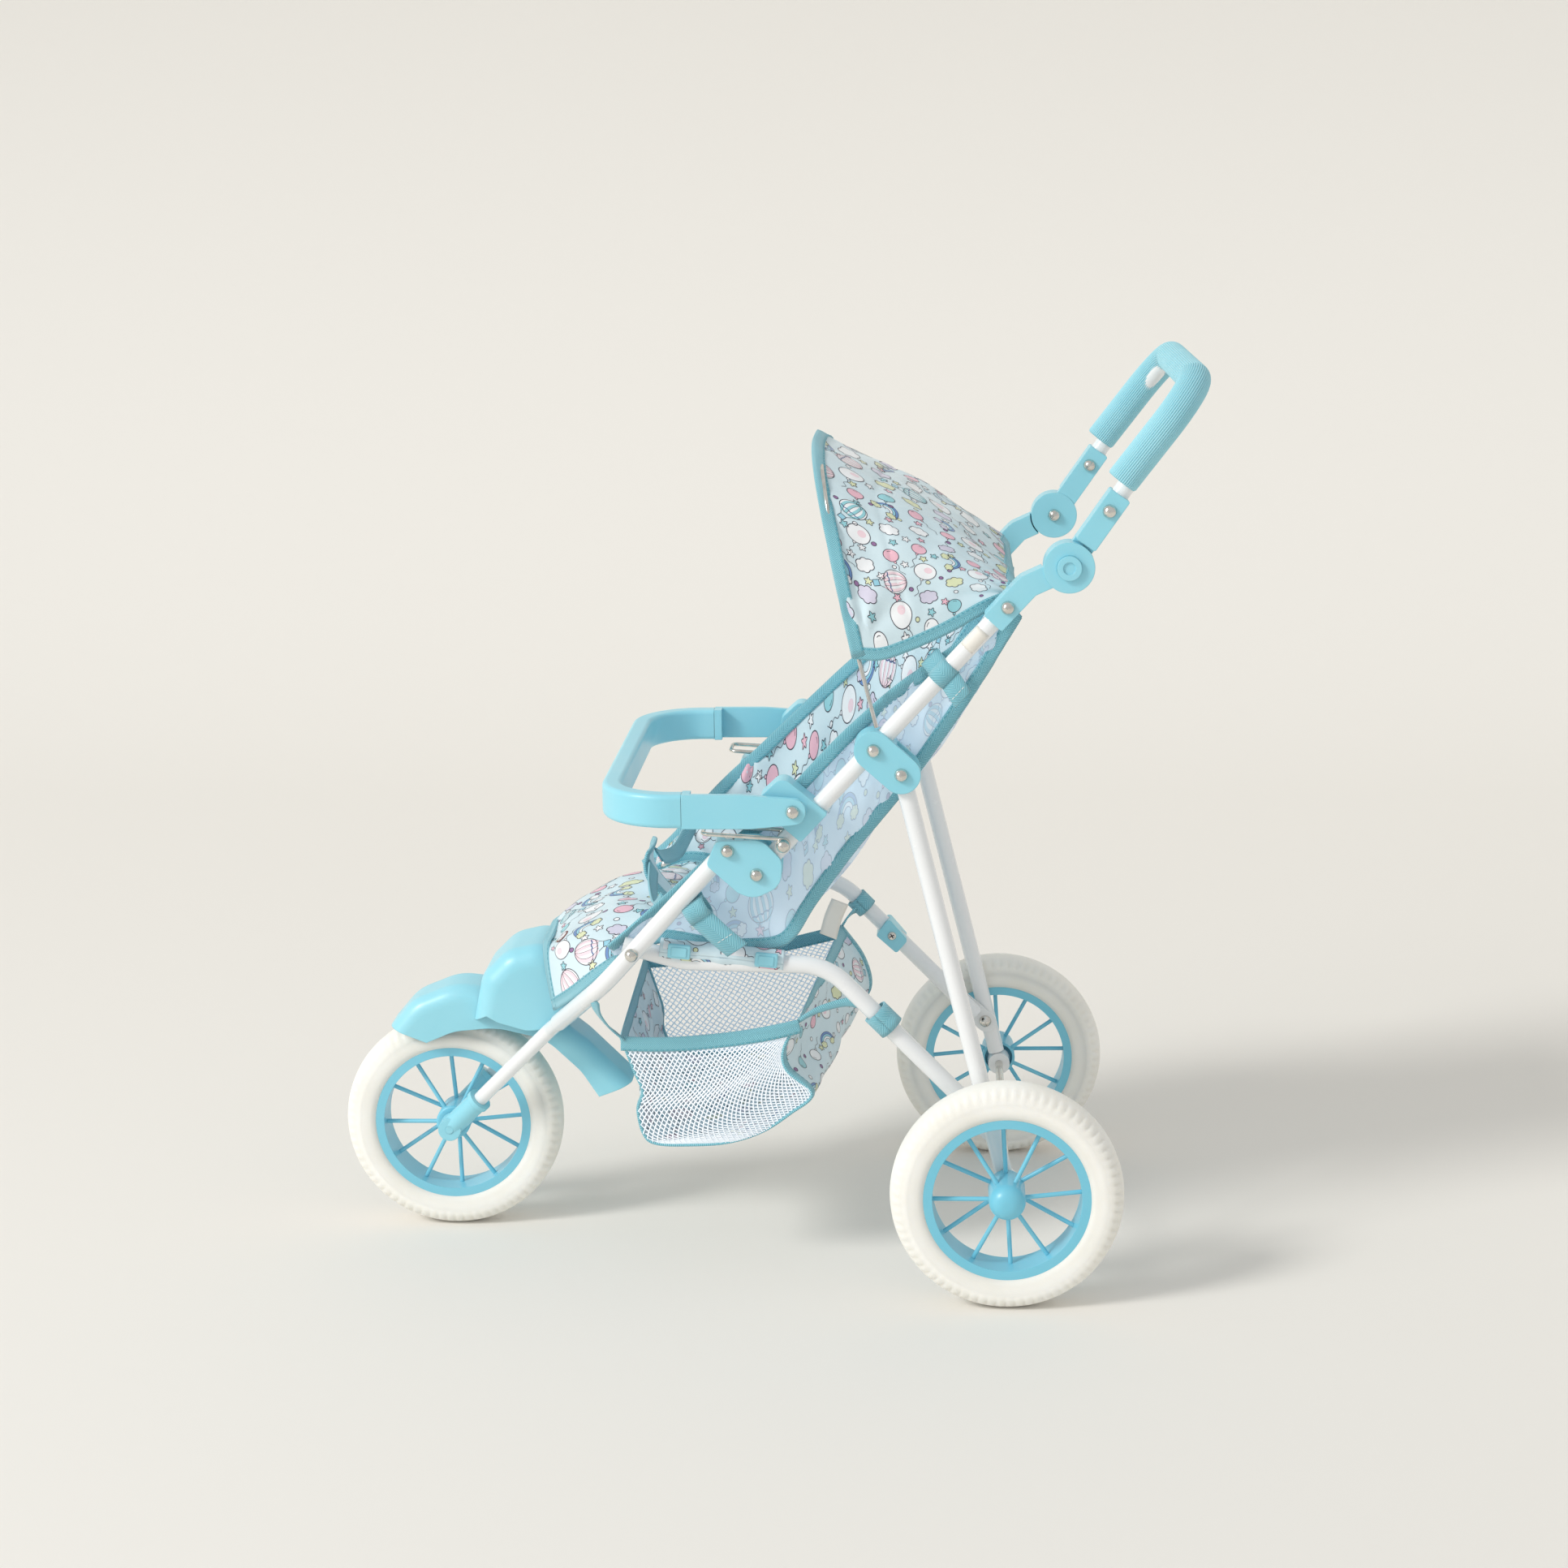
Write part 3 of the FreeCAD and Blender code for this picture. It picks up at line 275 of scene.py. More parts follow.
MATERIALS = {
    "white_paint": paint_material(),
    "blue_plastic": plastic_material("blue_plastic", "plastic"),
    "blue_rim": plastic_material("blue_rim", "rim", 0.5),
    "foam_tyre": foam_material("foam_tyre", "foam", 0.35),
    "foam_grip": foam_material("foam_grip", "grip", 0.2),
    "steel": steel_material(),
    "tape": tape_material(),
    "ground": cloth_material("printed_cloth", linear(COLOURS["ground"])),
    "ground_back": cloth_material("printed_cloth_reverse", linear(COLOURS["ground_back"]), glow=0.13),
    # the net's glow is painted light that keeps its threads white where they lie in shade
    "net": cloth_material("net_thread", linear(COLOURS["net"]), 0.6, 0.8, glow=0.25),
    "stitch": cloth_material("dark_thread", linear(COLOURS["stitch"]), 0.7, 0.5),
    "thread": cloth_material("pale_thread", linear(COLOURS["thread"]), 0.7, 0.5),
    "label": cloth_material("label_satin", linear(COLOURS["label"]), 0.45, 0.3),
    "patch": cloth_material("patch_thread", linear(COLOURS["patch"]), 0.6, 0.6),
}
MATERIALS["ink_patch"] = MATERIALS["patch"]
for ink, hue in INKS.items():
    MATERIALS["ink_" + ink] = cloth_material("ink_" + ink, linear(hue))
    faded = mixed(COLOURS["ground_back"], hue, 0.38)
    MATERIALS["faint_" + ink] = cloth_material("faint_" + ink, faded, glow=0.11)


def dress_frame():
    """Gives every carried-over part the material that its record slot names."""
    slots = {part["node"]: part["material_slot"] for part in frame["record"]["subparts"]}
    # the fork's moulded ends cover the axle, so nothing of the steel shows
    slots.update({"fork_end_left": "blue_plastic", "fork_end_right": "blue_plastic",
                  "front_axle": "blue_plastic"})
    for node, item in frame["nodes"].items():
        wanted = MATERIALS.get(slots[node])
        if wanted is None:
            continue
        item.data.materials.clear()
        item.data.materials.append(wanted)


# ---------------------------------------------------------------- small mesh tools

def make_object(name, points, faces, materials, face_materials=None, uvs=None, smooth=True):
    """A mesh object from points in millimetres; uvs gives one pair per point."""
    mesh = bpy.data.meshes.new(name)
    mesh.from_pydata([tuple(float(c) * MM for c in p) for p in points], [], [tuple(f) for f in faces])
    for key in materials:
        mesh.materials.append(MATERIALS[key])
    if face_materials is not None:
        mesh.polygons.foreach_set("material_index", face_materials)
    if uvs is not None:
        layer = mesh.uv_layers.new(name="flat")
        flat = np.array(uvs, float)
        loops = np.zeros(len(mesh.loops), int)
        mesh.loops.foreach_get("vertex_index", loops)
        layer.data.foreach_set("uv", flat[loops].ravel())
    if smooth:
        mesh.polygons.foreach_set("use_smooth", [True] * len(mesh.polygons))
    mesh.update()
    item = bpy.data.objects.new(name, mesh)
    bpy.context.scene.collection.objects.link(item)
    return item


def curve_through(points, count, closed=False):
    """Evenly spaced places on a smooth line through the points (centripetal-free Catmull-Rom)."""
    p = np.array(points, float)
    if closed:
        p = np.vstack([p[-1], p, p[0], p[1]])
    else:
        p = np.vstack([2 * p[0] - p[1], p, 2 * p[-1] - p[-2]])
    fine = []
    for a, b, c, d in zip(p[:-3], p[1:-2], p[2:-1], p[3:]):
        for t in np.linspace(0, 1, 24, endpoint=False):
            fine.append(0.5 * (2 * b + (c - a) * t + (2 * a - 5 * b + 4 * c - d) * t * t
                               + (3 * b - a - 3 * c + d) * t ** 3))
    fine.append(p[-2])
    fine = np.array(fine)
    along = np.concatenate([[0], np.cumsum(np.linalg.norm(np.diff(fine, axis=0), axis=1))])
    wanted = np.linspace(0, along[-1], count)
    return np.stack([np.interp(wanted, along, fine[:, k]) for k in range(fine.shape[1])], axis=1)


def line_length(points):
    return float(np.linalg.norm(np.diff(points, axis=0), axis=1).sum())


def unit(vectors):
    return vectors / np.maximum(np.linalg.norm(vectors, axis=-1, keepdims=True), 1e-9)


# ---------------------------------------------------------------- sheets of cloth

class Sheet:
    """A sheet as a grid of places; s runs across it and t along it, both 0 to 1."""

    def __init__(self, name, surface, across, along, width, length):
        self.name = name
        self.width = width
        self.length = length
        s, t = np.meshgrid(np.linspace(0, 1, across + 1), np.linspace(0, 1, along + 1), indexing="ij")
        places = [[surface(a, b) for a, b in zip(row_s, row_t)] for row_s, row_t in zip(s, t)]
        self.grid = np.array(places, float)

    def normals(self):
        along_s = np.gradient(self.grid, axis=0)
        along_t = np.gradient(self.grid, axis=1)
        return unit(np.cross(along_s, along_t))

    def area(self):
        """Square metres, from the middle of each cell."""
        a = self.grid[1:, :-1] - self.grid[:-1, :-1]
        b = self.grid[:-1, 1:] - self.grid[:-1, :-1]
        return float(np.linalg.norm(np.cross(a, b), axis=-1).sum()) * MM * MM

    def place(self, s, t, lift):
        """The place on the sheet at s and t, raised by lift along the face."""
        across, along = self.grid.shape[0] - 1, self.grid.shape[1] - 1
        s = np.clip(np.asarray(s, float), 0, 1) * across
        t = np.clip(np.asarray(t, float), 0, 1) * along
        i = np.minimum(s.astype(int), across - 1)
        j = np.minimum(t.astype(int), along - 1)
        fs, ft = (s - i)[..., None], (t - j)[..., None]
        faces = self.normals()

        def mix(values):
            return ((values[i, j] * (1 - fs) + values[i + 1, j] * fs) * (1 - ft)
                    + (values[i, j + 1] * (1 - fs) + values[i + 1, j + 1] * fs) * ft)

        return mix(self.grid) + unit(mix(faces)) * lift

    def build(self, front="ground", back="ground_back", thickness=0.5):
        """Both faces of the cloth and the edge between them."""
        across, along = self.grid.shape[:2]
        faces = self.normals() * thickness / 2
        points = np.concatenate([(self.grid + faces).reshape(-1, 3), (self.grid - faces).reshape(-1, 3)])
        flat = [(i / (across - 1) * self.width, j / (along - 1) * self.length)
                for i in range(across) for j in range(along)] * 2
        half = across * along
        quads, kinds = [], []
        for i in range(across - 1):
            for j in range(along - 1):
                a, b, c, d = i * along + j, (i + 1) * along + j, (i + 1) * along + j + 1, i * along + j + 1
                quads += [(a, b, c, d), (half + d, half + c, half + b, half + a)]
                kinds += [0, 1]
        rim = [i * along for i in range(across)]
        rim += [(across - 1) * along + j for j in range(1, along)]
        rim += [i * along + along - 1 for i in range(across - 2, -1, -1)]
        rim += [j for j in range(along - 2, 0, -1)]
        for a, b in zip(rim, rim[1:] + rim[:1]):
            quads.append((b, a, half + a, half + b))
            kinds.append(0)
        return make_object(self.name, points, quads, [front, back], kinds, flat)


def ripple(seed, waves, longest, shortest):
    """A repeatable field of soft creases: a function of millimetres across and along, about -1 to 1."""
    draw = random.Random(seed)
    parts = []
    for number in range(waves):
        length = shortest + (longest - shortest) * draw.random()
        turn = draw.uniform(0, math.pi)
        parts.append((math.cos(turn) / length, math.sin(turn) / length, draw.uniform(0, 1), length / longest))
    total = sum(part[3] for part in parts)

    def height(u, v):
        value = 0
        for across, along, start, weight in parts:
            value += weight * math.sin(2 * math.pi * (u * across + v * along + start))
        return value / total * 1.8

    return height


def pull(u, v, centre, folds, reach, turn=0.0):
    """Folds that fan out from a point where the cloth is gathered or tied."""
    du, dv = u - centre[0], v - centre[1]
    far = math.hypot(du, dv)
    spread = math.exp(-far / reach) * min(1.0, far / (reach * 0.25))
    return spread * math.cos(folds * math.atan2(dv, du) + turn)


def ribbon(name, points, sideways, width, thickness, material="tape", uv_start=0.0, edge=0.0):
    """A flat band along the points; sideways gives the band's width direction at each point."""
    points = np.array(points, float)
    sideways = unit(np.array(sideways, float))
    forward = unit(np.gradient(points, axis=0))
    faces = unit(np.cross(forward, sideways))
    profile = [(-0.5, 0.5), (-0.25, 0.5), (0, 0.5), (0.25, 0.5), (0.5, 0.5),
               (0.5, -0.5), (0.25, -0.5), (0, -0.5), (-0.25, -0.5), (-0.5, -0.5)]
    ring, verts, flat = len(profile), [], []
    along = np.concatenate([[0], np.cumsum(np.linalg.norm(np.diff(points, axis=0), axis=1))])
    for place, side, face, gone in zip(points, sideways, faces, along):
        for across, up in profile:
            rounded = 1 - edge * abs(2 * across) ** 4
            verts.append(place + side * across * width + face * up * thickness * rounded)
            flat.append((gone + uv_start, across * width))
    quads = []
    for i in range(len(points) - 1):
        for k in range(ring):
            a, b = i * ring + k, i * ring + (k + 1) % ring
            quads.append((a, b, b + ring, a + ring))
    quads.append(tuple(range(ring - 1, -1, -1)))
    quads.append(tuple(range((len(points) - 1) * ring, len(points) * ring)))
    return make_object(name, verts, quads, [material], uvs=flat)


def binding(name, sheet, edge, width=11.0, thickness=1.5, steps=120, sewn=True):
    """Tape folded over a sheet's edge; edge lists (s, t) along it.  Returns the tape and its stitches."""
    st = curve_through(edge, steps)
    places = sheet.place(st[:, 0], st[:, 1], 0)
    middle = sheet.place(st[:, 0] * 0.9 + 0.05, st[:, 1] * 0.9 + 0.05, 0) - places
    forward = unit(np.gradient(places, axis=0))
    lift = unit(sheet.place(st[:, 0], st[:, 1], 1) - places)
    inward = unit(np.cross(lift, forward))
    if (inward * middle).sum() < 0:
        inward = -inward
    centre = places + inward * (width * 0.5 - 1.0)
    pieces = [ribbon(name, centre, inward, width, thickness, edge=0.25)]
    if sewn:
        line = centre + inward * (width * 0.5 - 1.2)
        pieces.append(stitches(name + "_stitches", line, lift, thickness / 2 + 0.05))
    return pieces


def stitches(name, line, face, lift, length=2.4, gap=1.5, colour="stitch"):
    """A row of short raised stitches on both faces of the line."""
    line = np.array(line, float)
    total = line_length(line)
    along = np.concatenate([[0], np.cumsum(np.linalg.norm(np.diff(line, axis=0), axis=1))])
    verts, quads = [], []
    at = gap
    while at + length < total:
        ends = []
        for gone in (at, at + length / 2, at + length):
            ends.append([np.interp(gone, along, line[:, k]) for k in range(3)]
                        + [np.interp(gone, along, face[:, k]) for k in range(3)])
        ends = np.array(ends)
        forward = unit(ends[2, :3] - ends[0, :3])
        for sign in (1, -1):
            normal = unit(ends[1, 3:]) * sign
            side = np.cross(normal, forward) * 0.28
            base = len(verts)
            for k, rise in enumerate((0.0, 0.22, 0.0)):
                centre = ends[k, :3] + normal * (lift + rise)
                verts += [centre + side, centre - side]
            quads += [(base, base + 2, base + 3, base + 1), (base + 2, base + 4, base + 5, base + 3)]
        at += length + gap
    return make_object(name, verts, quads, [colour], uvs=[(0, 0)] * len(verts))


# ---------------------------------------------------------------- the print

class Print:
    """Flat shapes gathered in a sheet's millimetre coordinates, then laid on one face of it."""

    LIFTS = {0: 0.06, 1: 0.10, 2: 0.14, 3: 0.19}

    def __init__(self, sheet, prefix, side):
        self.sheet = sheet
        self.prefix = prefix
        self.side = side
        self.points = []
        self.layers = []
        self.faces = []
        self.inks = []
        self.used = []
        self.frame = (0, 0, 1, 0, 1)

    def at(self, u, v, turn, scale=1.0):
        self.frame = (u, v, math.cos(turn), math.sin(turn), scale)

    def add(self, places, faces, ink, layer):
        u, v, c, s, scale = self.frame
        base = len(self.points)
        for x, y in places:
            x, y = x * scale, y * scale
            self.points.append((u + c * x - s * y, v + s * x + c * y))
            self.layers.append(layer)
        self.faces += [tuple(base + k for k in face) for face in faces]
        if ink not in self.used:
            self.used.append(ink)
        self.inks += [self.used.index(ink)] * len(faces)

    def blob(self, ink, radius, steps=36, rings=4, layer=1, centre=(0, 0)):
        """A filled shape whose edge is radius(angle) from its centre."""
        places = [centre]
        turns = [2 * math.pi * k / steps for k in range(steps)]
        reach = [radius(turn) if callable(radius) else radius for turn in turns]
        for ring in range(1, rings + 1):
            for turn, far in zip(turns, reach):
                far = far * ring / rings
                places.append((centre[0] + far * math.cos(turn), centre[1] + far * math.sin(turn)))
        faces = [(0, 1 + k, 1 + (k + 1) % steps) for k in range(steps)]
        for ring in range(rings - 1):
            a, b = 1 + ring * steps, 1 + (ring + 1) * steps
            for k in range(steps):
                nxt = (k + 1) % steps
                faces.append((a + k, b + k, b + nxt, a + nxt))
        self.add(places, faces, ink, layer)
        return places[-steps:]

    def stroke(self, ink, places, width=0.62, layer=3, closed=False):
        """A drawn line of even width."""
        p = np.array(places, float)
        if closed:
            p = np.vstack([p, p[:1]])
        forward = unit(np.gradient(p, axis=0))
        if closed:
            join = unit(forward[0] + forward[-1])
            forward[0] = forward[-1] = join
        side = np.stack([-forward[:, 1], forward[:, 0]], axis=1) * width / 2
        both = []
        for a, b in zip(p + side, p - side):
            both += [tuple(a), tuple(b)]
        faces = [(2 * k, 2 * k + 1, 2 * k + 3, 2 * k + 2) for k in range(len(p) - 1)]
        self.add(both, faces, ink, layer)

    def build(self, name):
        if not self.points:
            return None
        margin = 2.5
        flat = np.array(self.points)
        width, length = self.sheet.width, self.sheet.length
        inside = ((flat[:, 0] > margin) & (flat[:, 0] < width - margin)
                  & (flat[:, 1] > margin) & (flat[:, 1] < length - margin))
        s = np.clip(flat[:, 0], margin, width - margin) / width
        t = np.clip(flat[:, 1], margin, length - margin) / length
        lifts = np.array([self.LIFTS[layer] for layer in self.layers])[:, None] + 0.25
        places = self.sheet.place(s, t, lifts * self.side)
        keep = [k for k, face in enumerate(self.faces) if any(inside[i] for i in face)]
        faces = [self.faces[k] if self.side > 0 else self.faces[k][::-1] for k in keep]
        materials = [self.prefix + "_" + ink for ink in self.used]
        return make_object(name, places, faces, materials, [self.inks[k] for k in keep], self.points)


def lobed(size, lobes, depth, stretch=1.0, start=0.0):
    """The edge of a cloud: rounded lobes that meet in small nicks."""
    def radius(turn):
        wave = abs(math.sin(lobes * (turn + start) / 2))
        oval = 1 / math.hypot(math.cos(turn), math.sin(turn) / stretch)
        return size * oval * (1 - depth + depth * wave ** 0.6)
    return radius


def draw_cloud(art, draw, ink=None, size=6.4, centre=(0, 0)):
    ink = ink or draw.choice(["white", "lilac", "white", "green"])
    edge = art.blob(ink, lobed(size, 6, 0.24, 1.32, draw.random()), 54, 4, 1, centre)
    art.stroke("line", edge, 0.62, 3, True)


def draw_star(art, draw, ink=None):
    ink = ink or draw.choice(["white", "green", "pink", "teal"])

    def radius(turn):
        share = abs(((turn * 5 / (2 * math.pi)) % 1) - 0.5) * 2
        return 1.7 + 2.1 * share ** 1.2
    edge = art.blob(ink, radius, 40, 2, 1)
    art.stroke("line", edge, 0.5, 3, True)


def draw_dot(art, draw):
    ink = draw.choice(["plum", "green", "white", "plum", "white"])
    edge = art.blob(ink, draw.uniform(1.7, 2.1), 20, 2, 1)
    art.stroke("line", edge, 0.5, 3, True)


def draw_string(art, start, length):
    places = [(start + x, 1.3 * math.sin(x * 0.62) * min(1, x / 5)) for x in np.linspace(0, length, 26)]
    art.stroke("line", places, 0.4, 3)


def draw_balloon(art, draw, size=6.2):
    ink = draw.choice(["pink", "teal", "white", "pink"])
    edge = art.blob(ink, lambda turn: size * (1 + 0.07 * math.cos(turn)), 40, 4, 1)
    art.stroke("line", edge, 0.55, 3, True)
    knot = art.blob(ink, 1.1, 12, 1, 1, (size * 1.07 + 1.0, 0))
    art.stroke("line", knot, 0.45, 3, True)
    glint = [(size * 0.62 * math.cos(a), size * 0.62 * math.sin(a)) for a in np.linspace(2.6, 3.5, 7)]
    art.stroke("line", glint, 0.4)
    draw_string(art, size * 1.07 + 2.0, draw.uniform(12, 18))


def draw_big_balloon(art, draw):
    """A large pale balloon with a soft rose glow."""
    size = 9.2
    edge = art.blob("white", size, 48, 5, 1)
    art.blob("rose", 3.4, 24, 2, 2, (-size * 0.25, size * 0.2))
    art.stroke("line", edge, 0.6, 3, True)
    knot = art.blob("white", 1.2, 12, 1, 1, (size + 1.0, 0))
    art.stroke("line", knot, 0.45, 3, True)
    draw_string(art, size + 2.0, 17)


def draw_air_balloon(art, draw):
    """A hot-air balloon: striped envelope, scalloped skirt and a small basket."""
    stripe = draw.choice(["rose", "teal", "sky"])
    size = 10.5

    def radius(turn):
        return size * (1 - 0.20 * max(0, -math.sin(turn)) ** 2)
    edge = art.blob("white", radius, 56, 5, 1)
    for bow in (-0.78, -0.26, 0.26, 0.78):
        places = [(bow * size * math.cos(a) * 0.93, size * math.sin(a) * 0.95)
                  for a in np.linspace(-1.1, 1.5, 18)]
        art.stroke(stripe, places, 2.3, 2)
        art.stroke("line", [(x + 1.3, y) for x, y in places], 0.28, 3)
    band = [(x, -4.6 + 0.9 * abs(math.sin(x * 0.62))) for x in np.linspace(-8.6, 8.6, 40)]
    art.stroke("blue", band, 1.0, 2)
    art.stroke("line", band, 0.35, 3)
    art.stroke("line", edge, 0.55, 3, True)
    basket = art.blob("sky", lambda turn: 2.5 / max(abs(math.cos(turn)), abs(math.sin(turn)), 0.7), 24, 2, 1, (0, -15.5))
    art.stroke("line", basket, 0.5, 3, True)
    for side in (-1, 1):
        art.stroke("line", [(side * 2.1, -13.2), (side * 3.4, -11.2), (side * 4.4, -9.2)], 0.35)


def draw_rainbow(art, draw):
    """Three blue bands in an arch that ends in clouds."""
    for radius, ink in ((10.2, "blue"), (7.9, "sky"), (5.6, "white")):
        places = [(radius * math.cos(a), radius * math.sin(a)) for a in np.linspace(0.1, math.pi - 0.1, 30)]
        art.stroke(ink, places, 2.3, 1)
        art.stroke("line", [(x * (1 + 1.15 / radius), y * (1 + 1.15 / radius)) for x, y in places], 0.42, 2)
    places = [(4.45 * math.cos(a), 4.45 * math.sin(a)) for a in np.linspace(0.1, math.pi - 0.1, 20)]
    art.stroke("line", places, 0.42, 2)
    ink = draw.choice(["green", "white", "lilac"])
    for side in (-1, 1):
        edge = art.blob(ink, lobed(4.6, 6, 0.24, 0.85, 0.3), 42, 3, 2, (side * 8.0, -0.6))
        art.stroke("line", edge, 0.55, 3, True)


LARGE = [draw_cloud, draw_balloon, draw_air_balloon, draw_rainbow, draw_big_balloon, draw_cloud, draw_balloon]
SMALL = [draw_star, draw_dot, draw_star]


def layout(width, length, seed, pitch):
    """Where the motifs fall: large ones on a shaken staggered grid, small ones in the gaps between them."""
    draw = random.Random(seed)
    spots = []
    rows = int(length / pitch) + 2
    columns = int(width / pitch) + 2
    order = draw.randrange(len(LARGE))
    for row in range(rows):
        for column in range(columns):
            u = (column + 0.5 * (row % 2) - 0.25) * pitch + draw.uniform(-2.5, 2.5)
            v = (row + 0.1) * pitch * 0.92 + draw.uniform(-2.5, 2.5)
            spots.append((LARGE[order % len(LARGE)], u, v, draw.uniform(-0.7, 0.7), draw.random()))
            order += 1 + draw.randrange(3)
            for shift in ((0.5, 0.04), (0.27, 0.5))[:draw.choice((1, 2, 2))]:
                spots.append((draw.choice(SMALL), u + shift[0] * pitch + draw.uniform(-1.5, 1.5),
                              v + shift[1] * pitch * 0.92 + draw.uniform(-1.5, 1.5), draw.uniform(-3, 3),
                              draw.random()))
    return spots


def print_on(sheet, seed, pitch=29.0, turn=0.0, front=True, back=True):
    """Prints the same pattern on the face and, faintly, on the reverse; returns the pieces."""
    pieces = []
    spots = layout(sheet.width, sheet.length, seed, pitch)
    for prefix, side, wanted in (("ink", 1, front), ("faint", -1, back)):
        if not wanted:
            continue
        art = Print(sheet, prefix, side)
        for shape, u, v, lean, number in spots:
            art.at(u, v, turn + lean, 0.94)
            shape(art, random.Random(number))
        name = sheet.name + ("_print" if side > 0 else "_print_reverse")
        pieces.append(art.build(name))
    return [piece for piece in pieces if piece]


# ---------------------------------------------------------------- wheels and grip
# All sizes from here on are millimetres in the shared frame.

WHEEL_RADIUS, TYRE_SEAT, TYRE_HALF = 82.5, 57.4, 14.5
FRONT_WHEEL = (0, -237, 82.5)
REAR_WHEEL_X, REAR_WHEEL = 155, (179, 82.5)
TREAD_BLOCKS, BLOCK_DEPTH = 72, 1.5


def make_tyre(name, node, centre, half_width):
    """Foam tyre: smooth crown and walls, with a ring of small blocks and hollows on each shoulder."""
    steps, radius, seat = 288, WHEEL_RADIUS, TYRE_SEAT
    profile = [(-half_width * 0.86, seat), (-half_width, seat + 6), (-half_width, seat + 13)]
    for k in range(13):
        turn = math.pi * k / 12
        rise = (radius - seat - 13) * math.sin(turn) ** 0.72
        profile.append((-half_width * math.cos(turn), seat + 13 + rise))
    profile += [(half_width, seat + 13), (half_width, seat + 6), (half_width * 0.86, seat)]
    points, uvs = [], []
    for k in range(steps):
        turn = 2 * math.pi * k / steps
        for number, (x, reach) in enumerate(profile):
            shoulder = math.exp(-((abs(x) / half_width - 0.80) / 0.13) ** 2) * (reach > seat + 14)
            phase = 0.5 if x > 0 else 0.0
            block = max(0.0, math.sin(2 * math.pi * (TREAD_BLOCKS * k / steps + phase))) ** 0.6
            r = reach - BLOCK_DEPTH * shoulder * block
            x_place = x * (1 - 0.055 * shoulder * block)
            points.append((centre[0] + x_place, centre[1] + r * math.cos(turn),
                           centre[2] + r * math.sin(turn)))
            uvs.append((turn * radius, number * 3.0))
    ring = len(profile)
    faces = []
    for k in range(steps):
        nxt = (k + 1) % steps
        for j in range(ring):
            m = (j + 1) % ring
            faces.append((k * ring + j, nxt * ring + j, nxt * ring + m, k * ring + m))
    item = make_object(name, points, faces, ["foam_tyre"], uvs=uvs)
    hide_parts(node)
    return item


def make_wheels():
    front = make_tyre("tread_front", "front_tyre", FRONT_WHEEL, TYRE_HALF)
    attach(front, "front_wheel")
    for name, side in SIDES.items():
        item = make_tyre("tread_" + name, "rear_tyre_" + name, (REAR_WHEEL_X * side, *REAR_WHEEL), TYRE_HALF)
        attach(item, "rear_wheel_" + name)


def grip_line():
    """The handle tube's centre line inside the grip, from one end over the crown to the other."""
    foot, crown = np.array([133.0, 256.4, 583.6]), np.array([133.0, 307.8, 650.0])
    heading = unit(crown - foot)
    radius = 37.0
    line = [foot + heading * d for d in np.linspace(0, np.linalg.norm(crown - foot) - radius, 34)]
    start = crown - heading * radius
    centre = start + np.array([-radius, 0, 0])
    for turn in np.linspace(0, math.pi / 2, 20)[1:]:
        line.append(centre + np.array([radius, 0, 0]) * math.cos(turn) + heading * radius * math.sin(turn))
    half = np.array(line)
    other = half[::-1] * np.array([-1, 1, 1])
    across = np.linspace(half[-1], other[0], 24)[1:-1]
    return np.vstack([half, across, other])


def make_grip():
    """Ribbed foam sleeve; the ribs run along it, and it wrinkles where it bends."""
    line = grip_line()
    forward = unit(np.gradient(line, axis=0))
    ribs, around, radius, rib_depth = 44, 352, 11.35, 0.75
    points, uvs = [], []
    along = np.concatenate([[0], np.cumsum(np.linalg.norm(np.diff(line, axis=0), axis=1))])
    total = along[-1]
    plane = unit(np.cross(forward[0], np.array([1.0, 0, 0])))
    for place, heading, gone in zip(line, forward, along):
        first = plane - heading * float(np.dot(plane, heading))
        first = first / np.linalg.norm(first)
        second = np.cross(heading, first)
        near = min(gone, total - gone)
        crease = sum(math.exp(-((near - at) / 1.2) ** 2) for at in (92, 99, 107)) * 0.35
        end = min(1.0, near / 1.2)
        for k in range(around):
            turn = 2 * math.pi * k / around
            rib = abs(math.sin(ribs * turn / 2)) ** 0.8
            taper = 0.93 + 0.07 * math.sqrt(end)
            r = (radius - rib_depth + rib_depth * rib) * taper - crease * (1 + math.cos(turn)) * 0.5
            points.append(place + first * r * math.cos(turn) + second * r * math.sin(turn))
            uvs.append((gone, turn * radius))
    faces = []
    for i in range(len(line) - 1):
        for k in range(around):
            nxt = (k + 1) % around
            faces.append((i * around + k, i * around + nxt, (i + 1) * around + nxt, (i + 1) * around + k))
    count = len(points)
    for index, flip in ((0, True), (len(line) - 1, False)):
        points.append(line[index])
        base = index * around
        for k in range(around):
            nxt = (k + 1) % around
            face = (base + k, base + nxt, count)
            faces.append(face[::-1] if flip else face)
        count += 1
    uvs += [(0, 0), (0, 0)]
    item = make_object("ribbed_grip", points, faces, ["foam_grip"], uvs=uvs)
    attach(item, "handle")
    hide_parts("handle_grip")
    return item


# ---------------------------------------------------------------- canopy

CANOPY_ARCHES = [((73, 462), (43, 602), 129), ((92, 461), (68, 589), 128.5), ((112, 467), (94, 576), 126),
                 ((140, 479), (126, 558), 122), ((166, 493), (155, 538), 118), ((186, 500), (184, 513), 114)]


def canopy_surface(s, t):
    """s runs from the far hem over the crown to the near hem, t from the front edge to the back."""
    low_y, low_z, top_y, top_z, half = curve_value(CANOPY_TABLE, t)
    turn = math.pi * (1 - s)
    rise = math.sin(turn) ** 0.72 if 0 < s < 1 else 0.0
    reach = math.copysign(abs(math.cos(turn)) ** 0.62, math.cos(turn))
    z = low_z + (top_z - low_z) * rise
    y = low_y + (top_y - low_y) * rise
    return np.array([half * reach, y, z])


